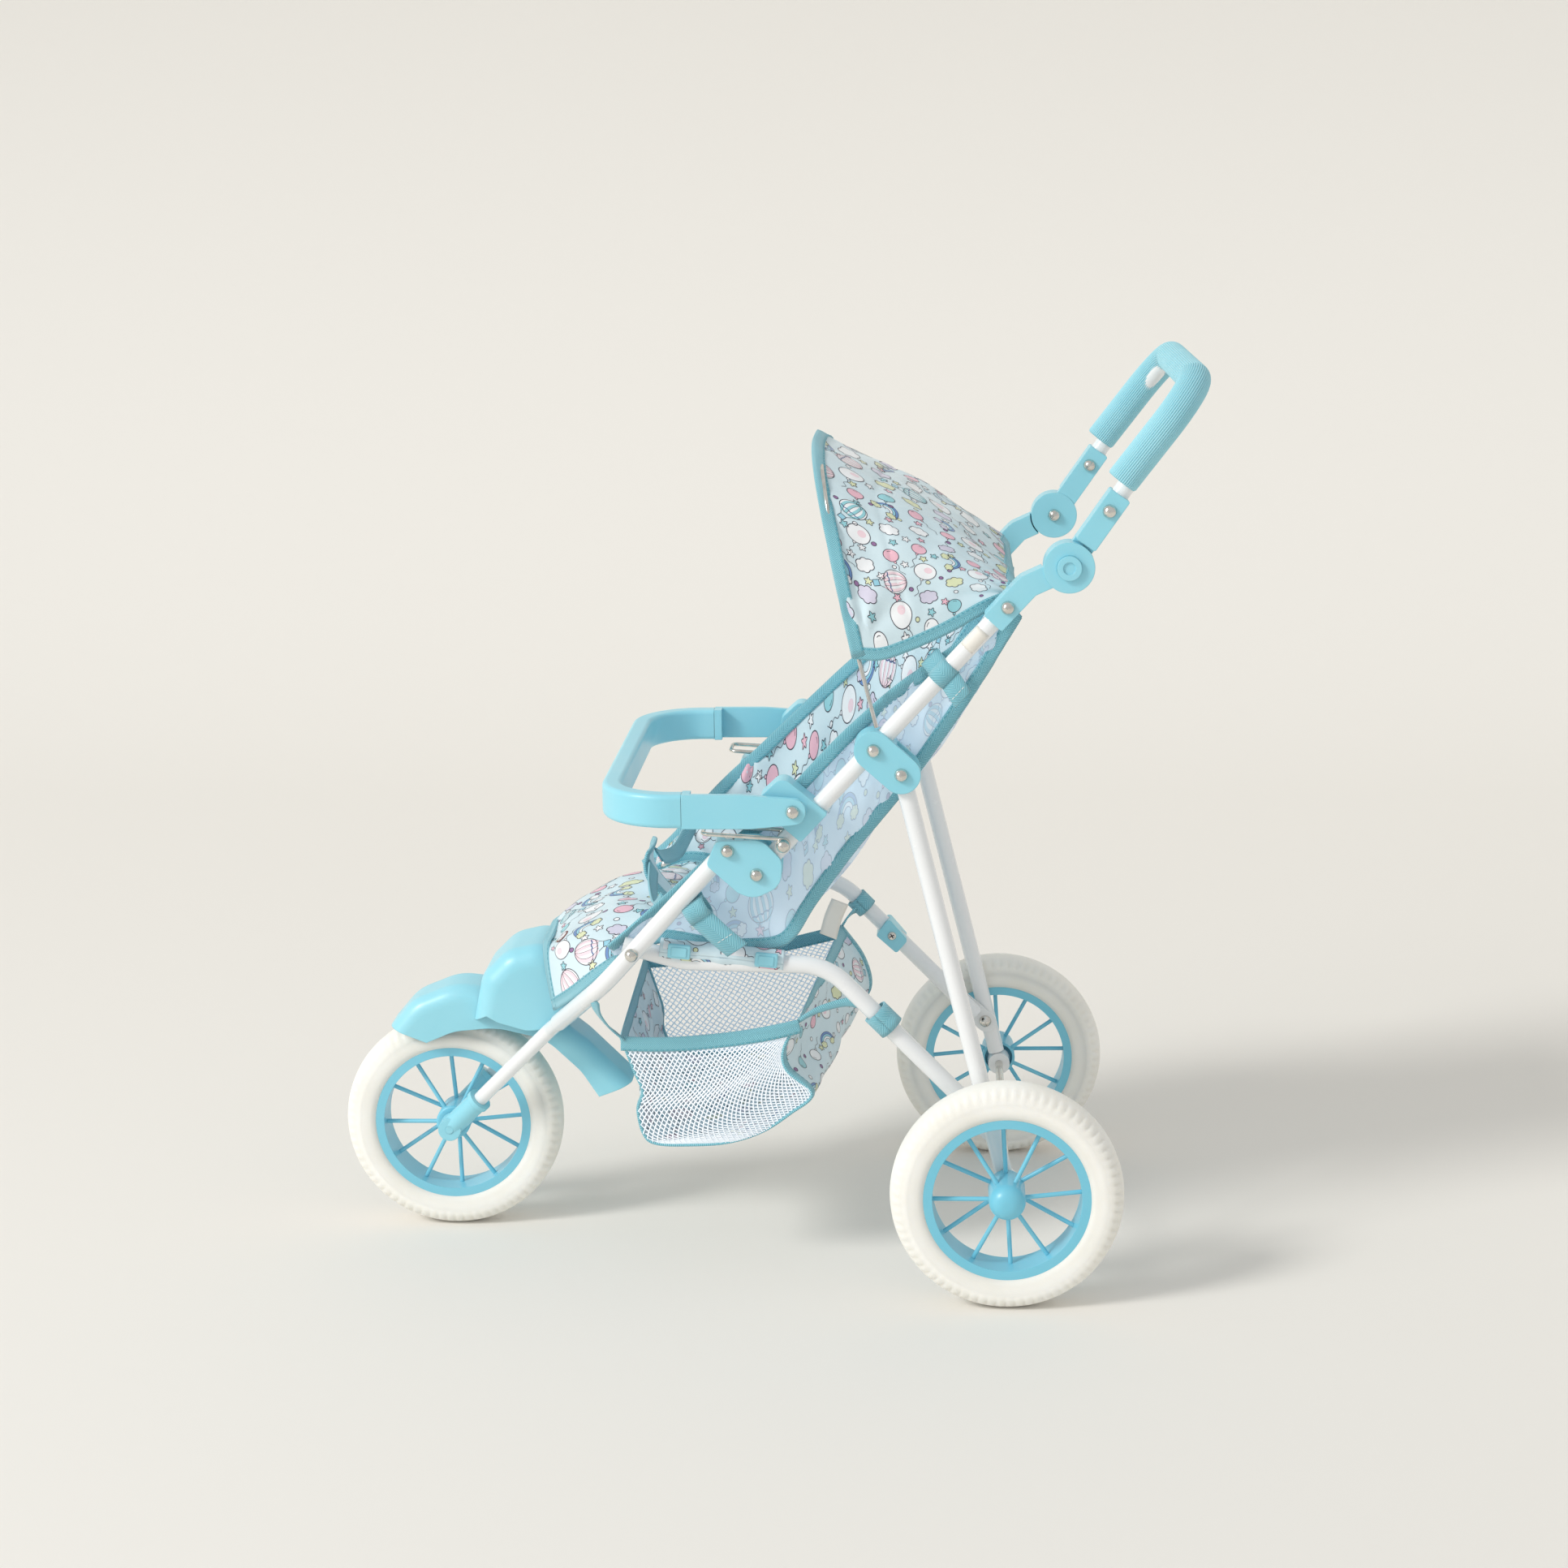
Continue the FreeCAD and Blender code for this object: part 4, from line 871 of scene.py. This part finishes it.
def curve_value(table, t):
    at = min(max(t, 0.0), 1.0) * (len(table) - 1)
    i = min(int(at), len(table) - 2)
    f = at - i
    return table[i] * (1 - f) + table[i + 1] * f


CANOPY_TABLE = curve_through([(*hem, *crown, half) for hem, crown, half in CANOPY_ARCHES], 60)


def make_canopy():
    width, length = 410.0, 150.0
    soft = ripple(5, 9, 95, 38)
    fine = ripple(8, 10, 34, 16)

    def surface(s, t):
        base = canopy_surface(s, t)
        u, v = s * width, t * length
        edge = min(1.0, s / 0.05, (1 - s) / 0.05) * min(1.0, t / 0.06, (1 - t) / 0.05)
        folds = 2.2 * soft(u, v) + 0.55 * fine(u, v)
        for centre in ((4, 14), (width - 4, 14)):
            folds += 2.6 * pull(u, v, centre, 7, 46, 0.6)
        for centre in ((20, length), (width - 20, length)):
            folds += 2.2 * pull(u, v, centre, 6, 42)
        folds -= 0.9 * math.exp(-((v - 52 - 8 * math.sin(u / 60)) / 2.2) ** 2)
        step = 0.002
        across = canopy_surface(min(1, s + step), t) - canopy_surface(max(0, s - step), t)
        along = canopy_surface(s, min(1, t + step)) - canopy_surface(s, max(0, t - step))
        normal = np.cross(across, along)
        normal = normal / max(np.linalg.norm(normal), 1e-9)
        return base + normal * folds * edge

    sheet = Sheet("canopy_cloth", surface, 150, 60, width, length)
    item = sheet.build()
    pieces = [item] + print_on(sheet, 21, 25.0, turn=0.2)
    pieces += binding("canopy_front_tape", sheet, [(k / 20, 0.0) for k in range(21)], 9.5, 2.6, steps=220)
    pieces += binding("canopy_near_tape", sheet, [(1.0, k / 8) for k in range(9)], 9, steps=90)
    pieces += binding("canopy_far_tape", sheet, [(0.0, k / 8) for k in range(9)], 9, steps=90)
    pieces += binding("canopy_rear_tape", sheet, [(k / 12, 1.0) for k in range(13)], 8, steps=120)
    ride_all(pieces, "upper_frame")
    declare(sheet, "canopy")


def ride_all(pieces, body):
    for piece in pieces:
        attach(piece, body)


def declare(sheet, nodes):
    """Hides the CAD parts that the sheet stands for; the sheet's area is worked out but not used."""
    nodes = [nodes] if isinstance(nodes, str) else nodes
    if nodes:
        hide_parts(*nodes)
    area = sheet.area()


# ---------------------------------------------------------------- seat sling

# Each row is a place along the sling, from its top to the tip of the leg flap: the edge's y and z, the
# middle's y and z, and half the width.
SLING = [(189, 487, 187, 481, 111), (152, 427, 155, 416, 111), (110, 367, 114, 357, 111), (72, 320, 78, 311, 111),
         (45, 283, 52, 276, 111), (24, 253, 26, 249, 111), (2, 247, -2, 243, 111), (-33, 250, -33, 245, 111),
         (-66, 255, -68, 260, 111), (-92, 242, -100, 263, 111), (-110, 228, -124, 254, 108),
         (-124, 214, -141, 245, 98), (-138, 200, -152, 236, 82), (-151, 187, -161, 231, 60)]
SLING_TABLE = curve_through(SLING, 160)

# The side panel's top edge, beside the tube, and the place on the sling's edge below it.
PANEL = [(176, 494, 189, 487), (140, 466, 152, 427), (102, 439, 110, 367), (66, 407, 72, 320), (40, 380, 45, 283),
         (15, 353, 24, 253), (-12, 331, -8, 248), (-36, 312, -36, 250), (-60, 290, -62, 254), (-82, 270, -80, 249),
         (-103, 252, -97, 238)]
# The far panel's top edge stands higher than the near one's, by these amounts along it.
FAR_RISE = (0, 3, 7, 9, 12, 15, 11, 8, 4, 0, 0)
PANEL_TABLES = {
    1: curve_through(PANEL, 120),
    -1: curve_through([(y, z + rise, low_y, low_z)
                       for (y, z, low_y, low_z), rise in zip(PANEL, FAR_RISE)], 120),
}
# How far each panel's top edge stands from the middle; the far one clears its wire lock.
PANEL_STAND = {1: 118.5, -1: 116.8}


def sling_blend(pieces):
    """Bakes each piece's placement into its mesh."""
    for piece in pieces:
        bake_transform(piece)


def make_sling():
    """Seat back, seat bottom and leg flap in one printed sheet, from side to side."""
    width, length = 222.0, 420.0
    soft, fine = ripple(31, 8, 110, 45), ripple(33, 9, 40, 18)

    def surface(s, t):
        edge_y, edge_z, middle_y, middle_z, half = curve_value(SLING_TABLE, t)
        across = 1 - 2 * s
        # the lip is squarer across, because it lies over the footrest
        share = 1 - abs(across) ** (2.2 + 3.2 * max(0.0, t - 0.78) / 0.22)
        u, v = s * width, t * length
        calm = min(1.0, s / 0.08, (1 - s) / 0.08) * min(1.0, t / 0.05, (1 - t) / 0.05)
        folds = (2.4 * soft(u, v) + 0.7 * fine(u, v)) * calm
        for side in (0, width):
            folds += 1.8 * calm * pull(u, v, (side, 330), 6, 50)
        y = edge_y + (middle_y - edge_y) * share
        z = edge_z + (middle_z - edge_z) * share
        slope = curve_value(SLING_TABLE, min(1, t + 0.02)) - curve_value(SLING_TABLE, max(0, t - 0.02))
        lean = math.hypot(slope[2], slope[3])
        return np.array([half * across, y + folds * slope[3] / lean, z - folds * slope[2] / lean])

    sheet = Sheet("seat_sling", surface, 80, 150, width, length)
    item = sheet.build()
    pieces = [item] + print_on(sheet, 41, 25.0, turn=-0.4)
    pieces += binding("sling_top_tape", sheet, [(k / 8, 0.0) for k in range(9)], 10, steps=90)
    pieces += binding("sling_tip_tape", sheet, [(k / 8, 1.0) for k in range(9)], 9, steps=60)
    for name, s in (("near", 0.0), ("far", 1.0)):
        edge = [(s, t) for t in np.linspace(0.66, 1.0, 9)]
        pieces += binding("flap_%s_tape" % name, sheet, edge, 9, steps=90)
    pieces.append(oval_patch(sheet, 52.0, 392.0))
    sling_blend(pieces)
    declare(sheet, ["seat_back", "seat_bottom", "leg_flap"])


def oval_patch(sheet, u, v):
    """A small plain woven oval sewn on the leg flap."""
    art = Print(sheet, "ink", 1)
    art.at(u, v, 0.1)

    def oval(scale):
        return lambda turn: scale / math.hypot(math.cos(turn) / 1.45, math.sin(turn))
    art.blob("patch", oval(7.6), 48, 4, 2)
    art.blob("white", oval(5.6), 48, 3, 3)
    return art.build("flap_patch")


def make_side_panels():
    """The sling's two side walls: printed inside, with the paler reverse outside."""
    width, length = 62.0, 400.0
    for name, side in SIDES.items():
        soft, fine = ripple(51 + side, 8, 90, 36), ripple(55 + side, 9, 34, 16)

        def surface(s, t):
            top_y, top_z, low_y, low_z = curve_value(PANEL_TABLES[side], t)
            across = s if side > 0 else 1 - s
            u, v = across * width, t * length
            calm = min(1.0, s / 0.10, (1 - s) / 0.10) * min(1.0, t / 0.04, (1 - t) / 0.04)
            folds = (1.7 * soft(u, v) + 0.5 * fine(u, v)) * calm
            folds += 1.9 * calm * (pull(u, v, (0, 92), 5, 34) + pull(u, v, (0, 292), 5, 34))
            x = PANEL_STAND[side] - 6.5 * across - 2.5 * math.sin(math.pi * across) + folds
            return np.array([side * x, top_y + (low_y - top_y) * across, top_z + (low_z - top_z) * across])

        sheet = Sheet("seat_side_cloth_" + name, surface, 36, 150, width, length)
        item = sheet.build()
        pieces = [item] + print_on(sheet, 61 + side, 24.5, turn=1.4)
        top, low = (0.0, 1.0) if side > 0 else (1.0, 0.0)
        for place, edge, depth in (("top", top, 2.2), ("low", low, 3.0)):
            line = [(edge, k / 12) for k in range(13)]
            pieces += binding("panel_%s_tape_%s" % (place, name), sheet, line, 9.5, depth, steps=180)
        pieces += binding("panel_rear_tape_" + name, sheet, [(k / 4, 0.0) for k in range(5)], 9, steps=20)
        sling_blend(pieces)
        declare(sheet, "seat_side_" + name)


def upper_point(along, across=0.0):
    turn = math.radians(47.1)
    return np.array([5 + along * math.cos(turn) - across * math.sin(turn),
                     311 + along * math.sin(turn) + across * math.cos(turn)])


def lower_point(along, across=0.0):
    turn = math.radians(180 + 33.6)
    place = np.array([5 + along * math.cos(turn), 311 + along * math.sin(turn)])
    return place + across * np.array([0.55, 0.83])


def tube_strap(name, side, centre, axis, tail, width=16.0):
    """Webbing sewn to the panel's edge, passed round the tube and left with a loose stitched tail."""
    centre = np.array([side * 133.0, *centre])
    axis = unit(np.array([0.0, *axis]))
    out = np.array([float(side), 0, 0])
    up = unit(np.cross(axis, out)) * side
    if up[2] < 0:
        up = -up
    radius = 7.1
    line = [centre - out * 13 + up * 14, centre - out * 9 + up * 10.5]
    for turn in np.linspace(math.radians(125), math.radians(-55), 16):
        line.append(centre + (out * math.cos(turn) + up * math.sin(turn)) * radius)
    drop = unit(np.array([0.0, *tail]))
    last = line[-1]
    reach = float(np.linalg.norm(np.array(tail)))
    for k in range(1, 9):
        share = k / 8
        line.append(last + drop * reach * share + out * (3.4 * math.sin(share * 2.2)))
    pieces = [ribbon(name, curve_through(line, 70), [axis] * 70, width, 1.5, edge=0.15)]
    loop = [centre + (out * math.cos(t) + up * math.sin(t)) * (radius - 0.1)
            for t in np.linspace(math.radians(-50), math.radians(-240), 18)]
    pieces.append(ribbon(name + "_under", loop, [axis] * 18, width * 0.96, 1.3))
    hem = last + drop * reach * 0.62 + out * 3.4
    line = [hem + axis * w for w in np.linspace(-width * 0.46, width * 0.46, 12)]
    pieces.append(stitches(name + "_hem", line, np.array([out] * 12), 0.85, 2.2, 1.0, "thread"))
    return pieces


def make_straps():
    upper_axis = (math.cos(math.radians(47.1)), math.sin(math.radians(47.1)))
    lower_axis = (-0.833, -0.553)
    for name, side in SIDES.items():
        y, z = upper_point(192)
        pieces = tube_strap("upper_strap_" + name, side, (y, z), upper_axis, (9, -13))
        ride_all(pieces, "upper_frame")
        y, z = lower_point(51)
        pieces = tube_strap("lower_strap_" + name, side, (y, z), lower_axis, (25, -22), 17)
        ride_all(pieces, "front_frame")


# ---------------------------------------------------------------- basket

BASKET_NEAR = [(-97, 180), (-88, 155), (-82, 139), (-86, 126), (-82, 107), (-73, 100), (-49, 99), (-22, 101),
               (3, 109), (24, 123), (40, 138), (22, 156), (20, 172), (31, 193)]
BASKET_FAR = [(-101, 178), (-93, 153), (-88, 136), (-88, 120), (-82, 106), (-73, 100), (-49, 99), (-20, 100),
              (8, 106), (36, 118), (62, 136), (77, 153), (72, 178), (55, 203)]
BASKET_HALF = 104.0
BASKET_TABLE = curve_through([near + far for near, far in zip(BASKET_NEAR, BASKET_FAR)], 140)


def make_basket():
    """One printed strip makes the front, floor and rear; net closes the two sides."""
    width, length = 208.0, 330.0
    soft = ripple(71, 9, 80, 30)

    def surface(s, t):
        near_y, near_z, far_y, far_z = curve_value(BASKET_TABLE, t)
        share = 1 - (2 * s - 1) ** 2
        calm = min(1.0, s / 0.08, (1 - s) / 0.08) * min(1.0, t / 0.05, (1 - t) / 0.05)
        ahead = curve_value(BASKET_TABLE, min(1, t + 0.02)) - curve_value(BASKET_TABLE, max(0, t - 0.02))
        lean = unit(np.array([ahead[0] + ahead[2], ahead[1] + ahead[3]]))
        out = -share * 5.0 * math.sin(math.pi * min(1, max(0, t))) + 2.0 * calm * soft(s * width, t * length)
        y = near_y + (far_y - near_y) * s - out * lean[1]
        z = near_z + (far_z - near_z) * s + out * lean[0]
        return np.array([BASKET_HALF * (1 - 2 * s), y, z])

    sheet = Sheet("basket_cloth", surface, 70, 110, width, length)
    item = sheet.build("ground", "ground")
    pieces = [item]
    art = print_on(sheet, 81, 29.0, turn=0.5, back=False)
    sheet_back = Sheet("basket_cloth_outside", surface, 70, 110, width, length)
    art += print_on_face(sheet_back, 82, 29.0)
    pieces += art
    for name, s in (("near", 0.0), ("far", 1.0)):
        seam = [(s, t) for t in np.linspace(0, 1, 40)]
        pieces += binding("basket_%s_seam" % name, sheet, seam, 6.5, 2.4, 260)
    pieces += binding("basket_front_rim", sheet, [(s, 0.0) for s in np.linspace(0, 1, 9)], 9, steps=80)
    pieces += binding("basket_rear_rim", sheet, [(s, 1.0) for s in np.linspace(0, 1, 9)], 9, steps=80)
    for name, column, side in (("near", 0, 1), ("far", 2, -1)):
        pieces += make_net(name, column, side)
    ride_all(pieces, "links")
    for piece in pieces:
        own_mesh(piece)
    declare(sheet, "basket")


def print_on_face(sheet, seed, pitch):
    """The full-colour print on a sheet's other face."""
    art = Print(sheet, "ink", -1)
    for shape, u, v, lean, number in layout(sheet.width, sheet.length, seed, pitch):
        art.at(u, v, lean, 0.94)
        shape(art, random.Random(number))
    return [art.build(sheet.name + "_print")]


def make_net(name, column, side):
    """A side of open diamond net, hung between the rim and the seam."""
    edge = BASKET_TABLE[:, column:column + 2]
    bottom = int(len(edge) * 0.37)
    corner = int(len(edge) * 0.765)
    front, floor, rear = edge[:bottom + 1], edge[bottom:corner + 1], edge[corner:][::-1]

    def surface(s, t):
        """Coons patch: s from front to rear, t from the rim down to the floor seam."""
        rim = edge[0] * (1 - s) + edge[-1] * s - np.array([0, 5.0 * math.sin(math.pi * s)])
        low = curve_value(floor, s)
        left, right = curve_value(front, t), curve_value(rear, t)
        flat = (rim * (1 - t) + low * t + left * (1 - s) + right * s
                - (edge[0] * (1 - s) + edge[-1] * s) * (1 - t)
                - (front[-1] * (1 - s) + rear[-1] * s) * t)
        bulge = 5.0 * math.sin(math.pi * s) * math.sin(math.pi * t) + 0.8 * math.sin(9 * s + 4 * t)
        return np.array([side * (BASKET_HALF + 0.5 + bulge), flat[0], flat[1]])

    sheet = Sheet("basket_net_" + name, surface, 60, 44, 124.0, 82.0)
    pieces = [net_threads(sheet)]
    pieces += binding("net_%s_rim" % name, sheet, [(s, 0.0) for s in np.linspace(0, 1, 12)], 10.5, 1.6, 120)
    return pieces


def net_threads(sheet, pitch=3.3, thread=1.05):
    """Two crossing families of flat threads that swell where they meet."""
    points, faces = [], []
    width, length = sheet.width, sheet.length
    for family in (1, -1):
        start = -length if family > 0 else 0
        stop = width if family > 0 else width + length
        offset = start
        while offset < stop:
            run = []
            steps = int(length / (pitch / 2))
            for k in range(steps + 1):
                v = k * length / steps
                u = offset + family * v
                if 0 <= u <= width:
                    run.append((u, v))
            offset += pitch * 1.15
            if len(run) < 3:
                continue
            run = np.array(run)
            places = sheet.place(run[:, 0] / width, run[:, 1] / length, 0.12 * family)
            forward = unit(np.gradient(places, axis=0))
            normal = unit(sheet.place(run[:, 0] / width, run[:, 1] / length, 1) - places)
            across = unit(np.cross(normal, forward))
            swell = 1 + 0.22 * np.cos(np.arange(len(run)) * math.pi)[:, None]
            base = len(points)
            for a, n, c, w in zip(places, normal, across, swell):
                half = thread * 0.5 * float(w[0])
                points += [a + c * half, a + n * 0.30, a - c * half, a - n * 0.30]
            for k in range(len(run) - 1):
                for m in range(4):
                    a, b = base + 4 * k + m, base + 4 * k + (m + 1) % 4
                    faces.append((a, b, b + 4, a + 4))
    item = make_object(sheet.name, points, faces, ["net"], uvs=[(0, 0)] * len(points))
    return item


def make_basket_ties():
    """Tape ties from the basket's corners to the tubes, and the printed sleeve on each link tube."""
    near = (1, [(31, 193), (46, 202), (70, 209), (88, 203)], (92, 198), 9.0, 17)
    far = (-1, [(55, 203), (58, 208), (64, 214), (70, 216)], (70, 218.5), 8.0, 13)
    for name, (side, line, wrap, radius, width) in {"near": near, "far": far}.items():
        points = [(side * x, y, z) for x, (y, z) in zip((104, 106, 110, 113), line)]
        places = curve_through(points, 30)
        item = ribbon("rear_tie_" + name, places, [(0.15, 0.55, 0.83)] * 30, 9, 1.4, edge=0.2)
        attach(item, "links")
        loop = [np.array([side * 117.0, *wrap]) + radius * (np.array([math.cos(t), 0, 0])
                + math.sin(t) * np.array([0, 0.716, 0.698])) for t in np.linspace(0, 2 * math.pi, 30)]
        item = ribbon("rear_tie_loop_" + name, loop, [(0, 0.698, -0.716)] * 30, width, 1.5)
        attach(item, "links")
        line = curve_through([(side * 105, -97, 181), (side * 110, -105, 190), (side * 118, -112, 204),
                              (side * 122, -113, 214)], 24)
        item = ribbon("front_tie_" + name, line, [(0.3, 0.6, -0.5)] * 24, 9, 1.4, edge=0.2)
        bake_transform(item)
    for name, side in SIDES.items():
        make_sleeve(name, side)


def make_clip_screw():
    """A cross-head screw in the inner face of the link tube's clip."""
    face, y, z, radius, rise = -108.0, 94.1, 194.0, 3.4, 0.9
    turns = np.linspace(0, 2 * math.pi, 32, endpoint=False)
    rings = ((radius, 0.0), (radius, rise * 0.6), (radius * 0.85, rise), (0.05, rise))
    points = [(face + out, y + reach * math.cos(t), z + reach * math.sin(t)) for reach, out in rings for t in turns]
    faces = [(32 * k + m, 32 * k + (m + 1) % 32, 32 * k + 32 + (m + 1) % 32, 32 * k + 32 + m)
             for k in range(3) for m in range(32)]
    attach(make_object("clip_screw", points, faces, ["steel"]), "links")
    # the cross is two dark flat quads laid on the head: painted shade standing in for the cross recess
    points, faces = [], []
    for turn in (0.5, 0.5 + math.pi / 2):
        along = np.array([0, math.cos(turn), math.sin(turn)]) * radius * 0.6
        across = np.array([0, -math.sin(turn), math.cos(turn)]) * 0.45
        centre = np.array([face + rise + 0.05, y, z])
        base = len(points)
        points += [centre + along + across, centre - along + across, centre - along - across, centre + along - across]
        faces.append((base, base + 1, base + 2, base + 3))
    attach(make_object("clip_screw_cross", points, faces, ["ink_line"]), "links")


def make_sleeve(name, side):
    start, end = np.array([side * 117.0, -66, 250.1]), np.array([side * 117.0, 22, 241.1])
    heading = unit(end - start)
    first = np.array([1.0, 0, 0])
    second = np.cross(heading, first)
    crumple = ripple(91 + side, 8, 26, 9)

    def surface(s, t):
        turn = 2 * math.pi * s * side
        reach = 7.5 + 0.5 * crumple(s * 47, t * 88)
        return start + (end - start) * t + (first * math.cos(turn) + second * math.sin(turn)) * reach

    sheet = Sheet("tube_sleeve_" + name, surface, 40, 60, 47.0, 88.0)
    if (sheet.normals()[0, 0] @ first) < 0:
        sheet.grid = sheet.grid[::-1]
    item = sheet.build("ground", "ground_back")
    pieces = [item] + print_on(sheet, 95 + side, 26.0, turn=1.2, back=False)
    for number, share in enumerate((0.16, 0.86)):
        pieces.append(sleeve_tab("sleeve_tab_%s%d" % (name, number), start + (end - start) * share, heading, side))
    ride_all(pieces, "links")
    declare(sheet, [])


def sleeve_tab(name, centre, heading, side):
    """A small moulded keeper on the sleeve: a rounded block with a stepped lip."""
    out = np.array([float(side), 0, 0])
    up = np.cross(heading, out) * side
    centre = centre + out * 7.6 + up * -2.0
    points, faces = [], []
    outline = [(-8, -4.2), (-7.2, -5), (7.2, -5), (8, -4.2), (8, 4.2), (7.2, 5), (-7.2, 5), (-8, 4.2)]
    levels = ((0, 1.0), (2.4, 1.0), (3.0, 0.93), (3.0, 0.70), (3.8, 0.66))
    for rise, scale in levels:
        points += [centre + heading * a * scale + up * b * scale + out * rise for a, b in outline]
    ring = len(outline)
    for level in range(len(levels) - 1):
        for k in range(ring):
            a, b = level * ring + k, level * ring + (k + 1) % ring
            faces.append((a, b, b + ring, a + ring))
    faces.append(tuple(range((len(levels) - 1) * ring, len(levels) * ring)))
    return make_object(name, points, faces, ["blue_plastic"], uvs=[(0, 0)] * len(points), smooth=False)


# ---------------------------------------------------------------- small trim

def make_labels():
    """A blank sewn tag on the seat's rear seam and a blank sticker on the left upper tube."""
    tag = curve_through([(64, 60, 270), (63, 55, 258), (65, 51, 244)], 16)
    item = ribbon("care_tag", tag, [(0.1, 0.95, -0.35)] * 16, 13, 0.35, "label")
    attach(item, "upper_frame")
    centre = np.array([133.0, *upper_point(224)])
    axis = np.array([0.0, math.cos(math.radians(47.1)), math.sin(math.radians(47.1))])
    up = np.array([0.0, -axis[2], axis[1]])

    def surface(s, t):
        turn = (s - 0.5) * 1.9 + 0.25
        return (centre + axis * (t - 0.5) * 17
                + (np.array([1.0, 0, 0]) * math.cos(turn) + up * math.sin(turn)) * 6.55)

    sheet = Sheet("tube_sticker", surface, 16, 6, 12.4, 17.0)
    item = sheet.build("label", "label", 0.12)
    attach(item, "upper_frame")


def make_crotch_pad():
    """The printed strap that comes up between the doll's legs, edged with tape, and its lap straps."""
    def surface(s, t):
        lean = t * t
        x = (0.5 - s) * (34 + 10 * t)
        bow = 1 - (2 * s - 1) ** 2
        return np.array([x, -72 - 14 * math.sin(t * 2.2) + 3 * bow, 259 + 34 * t + 3 * lean + 2 * bow])

    sheet = Sheet("crotch_pad", surface, 24, 24, 40.0, 40.0)
    item = sheet.build("ground", "ground_back", 2.0)
    pieces = [item] + print_on(sheet, 103, 24.0)
    for name, edge in (("top", [(k / 6, 1.0) for k in range(7)]), ("left", [(0.0, k / 6) for k in range(7)]),
                       ("right", [(1.0, k / 6) for k in range(7)])):
        pieces += binding("crotch_%s_tape" % name, sheet, edge, 7, 2.8, 40, sewn=False)
    for side in (1, -1):
        line = curve_through([(side * 18, -80, 284), (side * 45, -78, 275), (side * 80, -72, 270),
                              (side * 106, -66, 278), (side * 115, -62, 286)], 40)
        pieces.append(ribbon("lap_strap_%s" % ("near" if side > 0 else "far"), line, [(0, -0.5, 0.86)] * 40, 12, 1.4))
    ride_all(pieces, "front_frame")


# ---------------------------------------------------------------- camera, light and floor

def make_studio():
    floor = bpy.data.meshes.new("studio")
    wide, back, rise = 6.0, 2.6, 1.2
    profile = [(4.0, 0.0), (-back + rise, 0.0)]
    for k in range(1, 13):
        turn = math.pi / 2 * k / 12
        profile.append((-back + rise - rise * math.sin(turn), rise - rise * math.cos(turn)))
    profile.append((-back, 5.0))
    points = [(x, y, z) for x, z in profile for y in (-wide, wide)]
    faces = [(2 * k, 2 * k + 1, 2 * k + 3, 2 * k + 2) for k in range(len(profile) - 1)]
    floor.from_pydata(points, [], faces)
    floor.polygons.foreach_set("use_smooth", [True] * len(faces))
    floor.materials.append(floor_material())
    item = bpy.data.objects.new("studio", floor)
    bpy.context.scene.collection.objects.link(item)


def make_light():
    """An even white studio with one broad sun from the front left, so the floor stays evenly lit."""
    world = bpy.data.worlds.new("studio_light")
    world.use_nodes = True
    world.node_tree.nodes["Background"].inputs["Color"].default_value = (0.985, 0.995, 1.0, 1)
    world.node_tree.nodes["Background"].inputs["Strength"].default_value = 0.63
    bpy.context.scene.world = world
    data = bpy.data.lights.new("key", "SUN")
    data.energy = 1.4
    data.angle = math.radians(14)
    data.color = (1.0, 0.99, 0.965)
    item = bpy.data.objects.new("key", data)
    item.rotation_mode = "QUATERNION"
    item.rotation_quaternion = Vector((0.42, -0.72, 0.60)).to_track_quat("Z", "Y")
    bpy.context.scene.collection.objects.link(item)
    box = bpy.data.lights.new("softbox", "AREA")
    box.shape, box.size, box.size_y = "RECTANGLE", 1.1, 1.4
    box.energy = 10
    softbox = bpy.data.objects.new("softbox", box)
    softbox.location = (1.25, -1.75, 1.35)
    softbox.rotation_mode = "QUATERNION"
    softbox.rotation_quaternion = Vector((1.25, -1.75, 1.0)).to_track_quat("Z", "Y")
    bpy.context.scene.collection.objects.link(softbox)
    bpy.context.scene.view_settings.view_transform = "Standard"
    bpy.context.scene.view_settings.look = "None"


def make_camera():
    """A long lens on the stroller's left side, a little above it."""
    data = bpy.data.cameras.new("camera")
    data.sensor_width = 36.0
    data.lens = 64.65
    data.shift_x = -0.0461
    data.shift_y = -0.0822
    item = bpy.data.objects.new("camera", data)
    azimuth, elevation, roll = 0.0315, 0.18424, -0.00828
    back = np.array([math.cos(elevation) * math.cos(azimuth), math.cos(elevation) * math.sin(azimuth),
                     math.sin(elevation)])
    right = unit(np.cross(-back, np.array([0, 0, 1.0])))
    up = np.cross(right, -back)
    right, up = (right * math.cos(roll) + up * math.sin(roll), up * math.cos(roll) - right * math.sin(roll))
    place = np.array([0, 0.0712, 0.4397]) + back * 2.0725
    matrix = Matrix.Identity(4)
    for k in range(3):
        matrix[k][0], matrix[k][1], matrix[k][2], matrix[k][3] = right[k], up[k], back[k], place[k]
    item.matrix_world = matrix
    bpy.context.scene.collection.objects.link(item)
    bpy.context.scene.camera = item


make_studio()
make_light()
make_camera()
dress_frame()
make_wheels()
make_grip()
make_canopy()
make_sling()
make_side_panels()
make_straps()
make_crotch_pad()
make_basket()
make_basket_ties()
make_clip_screw()
make_labels()
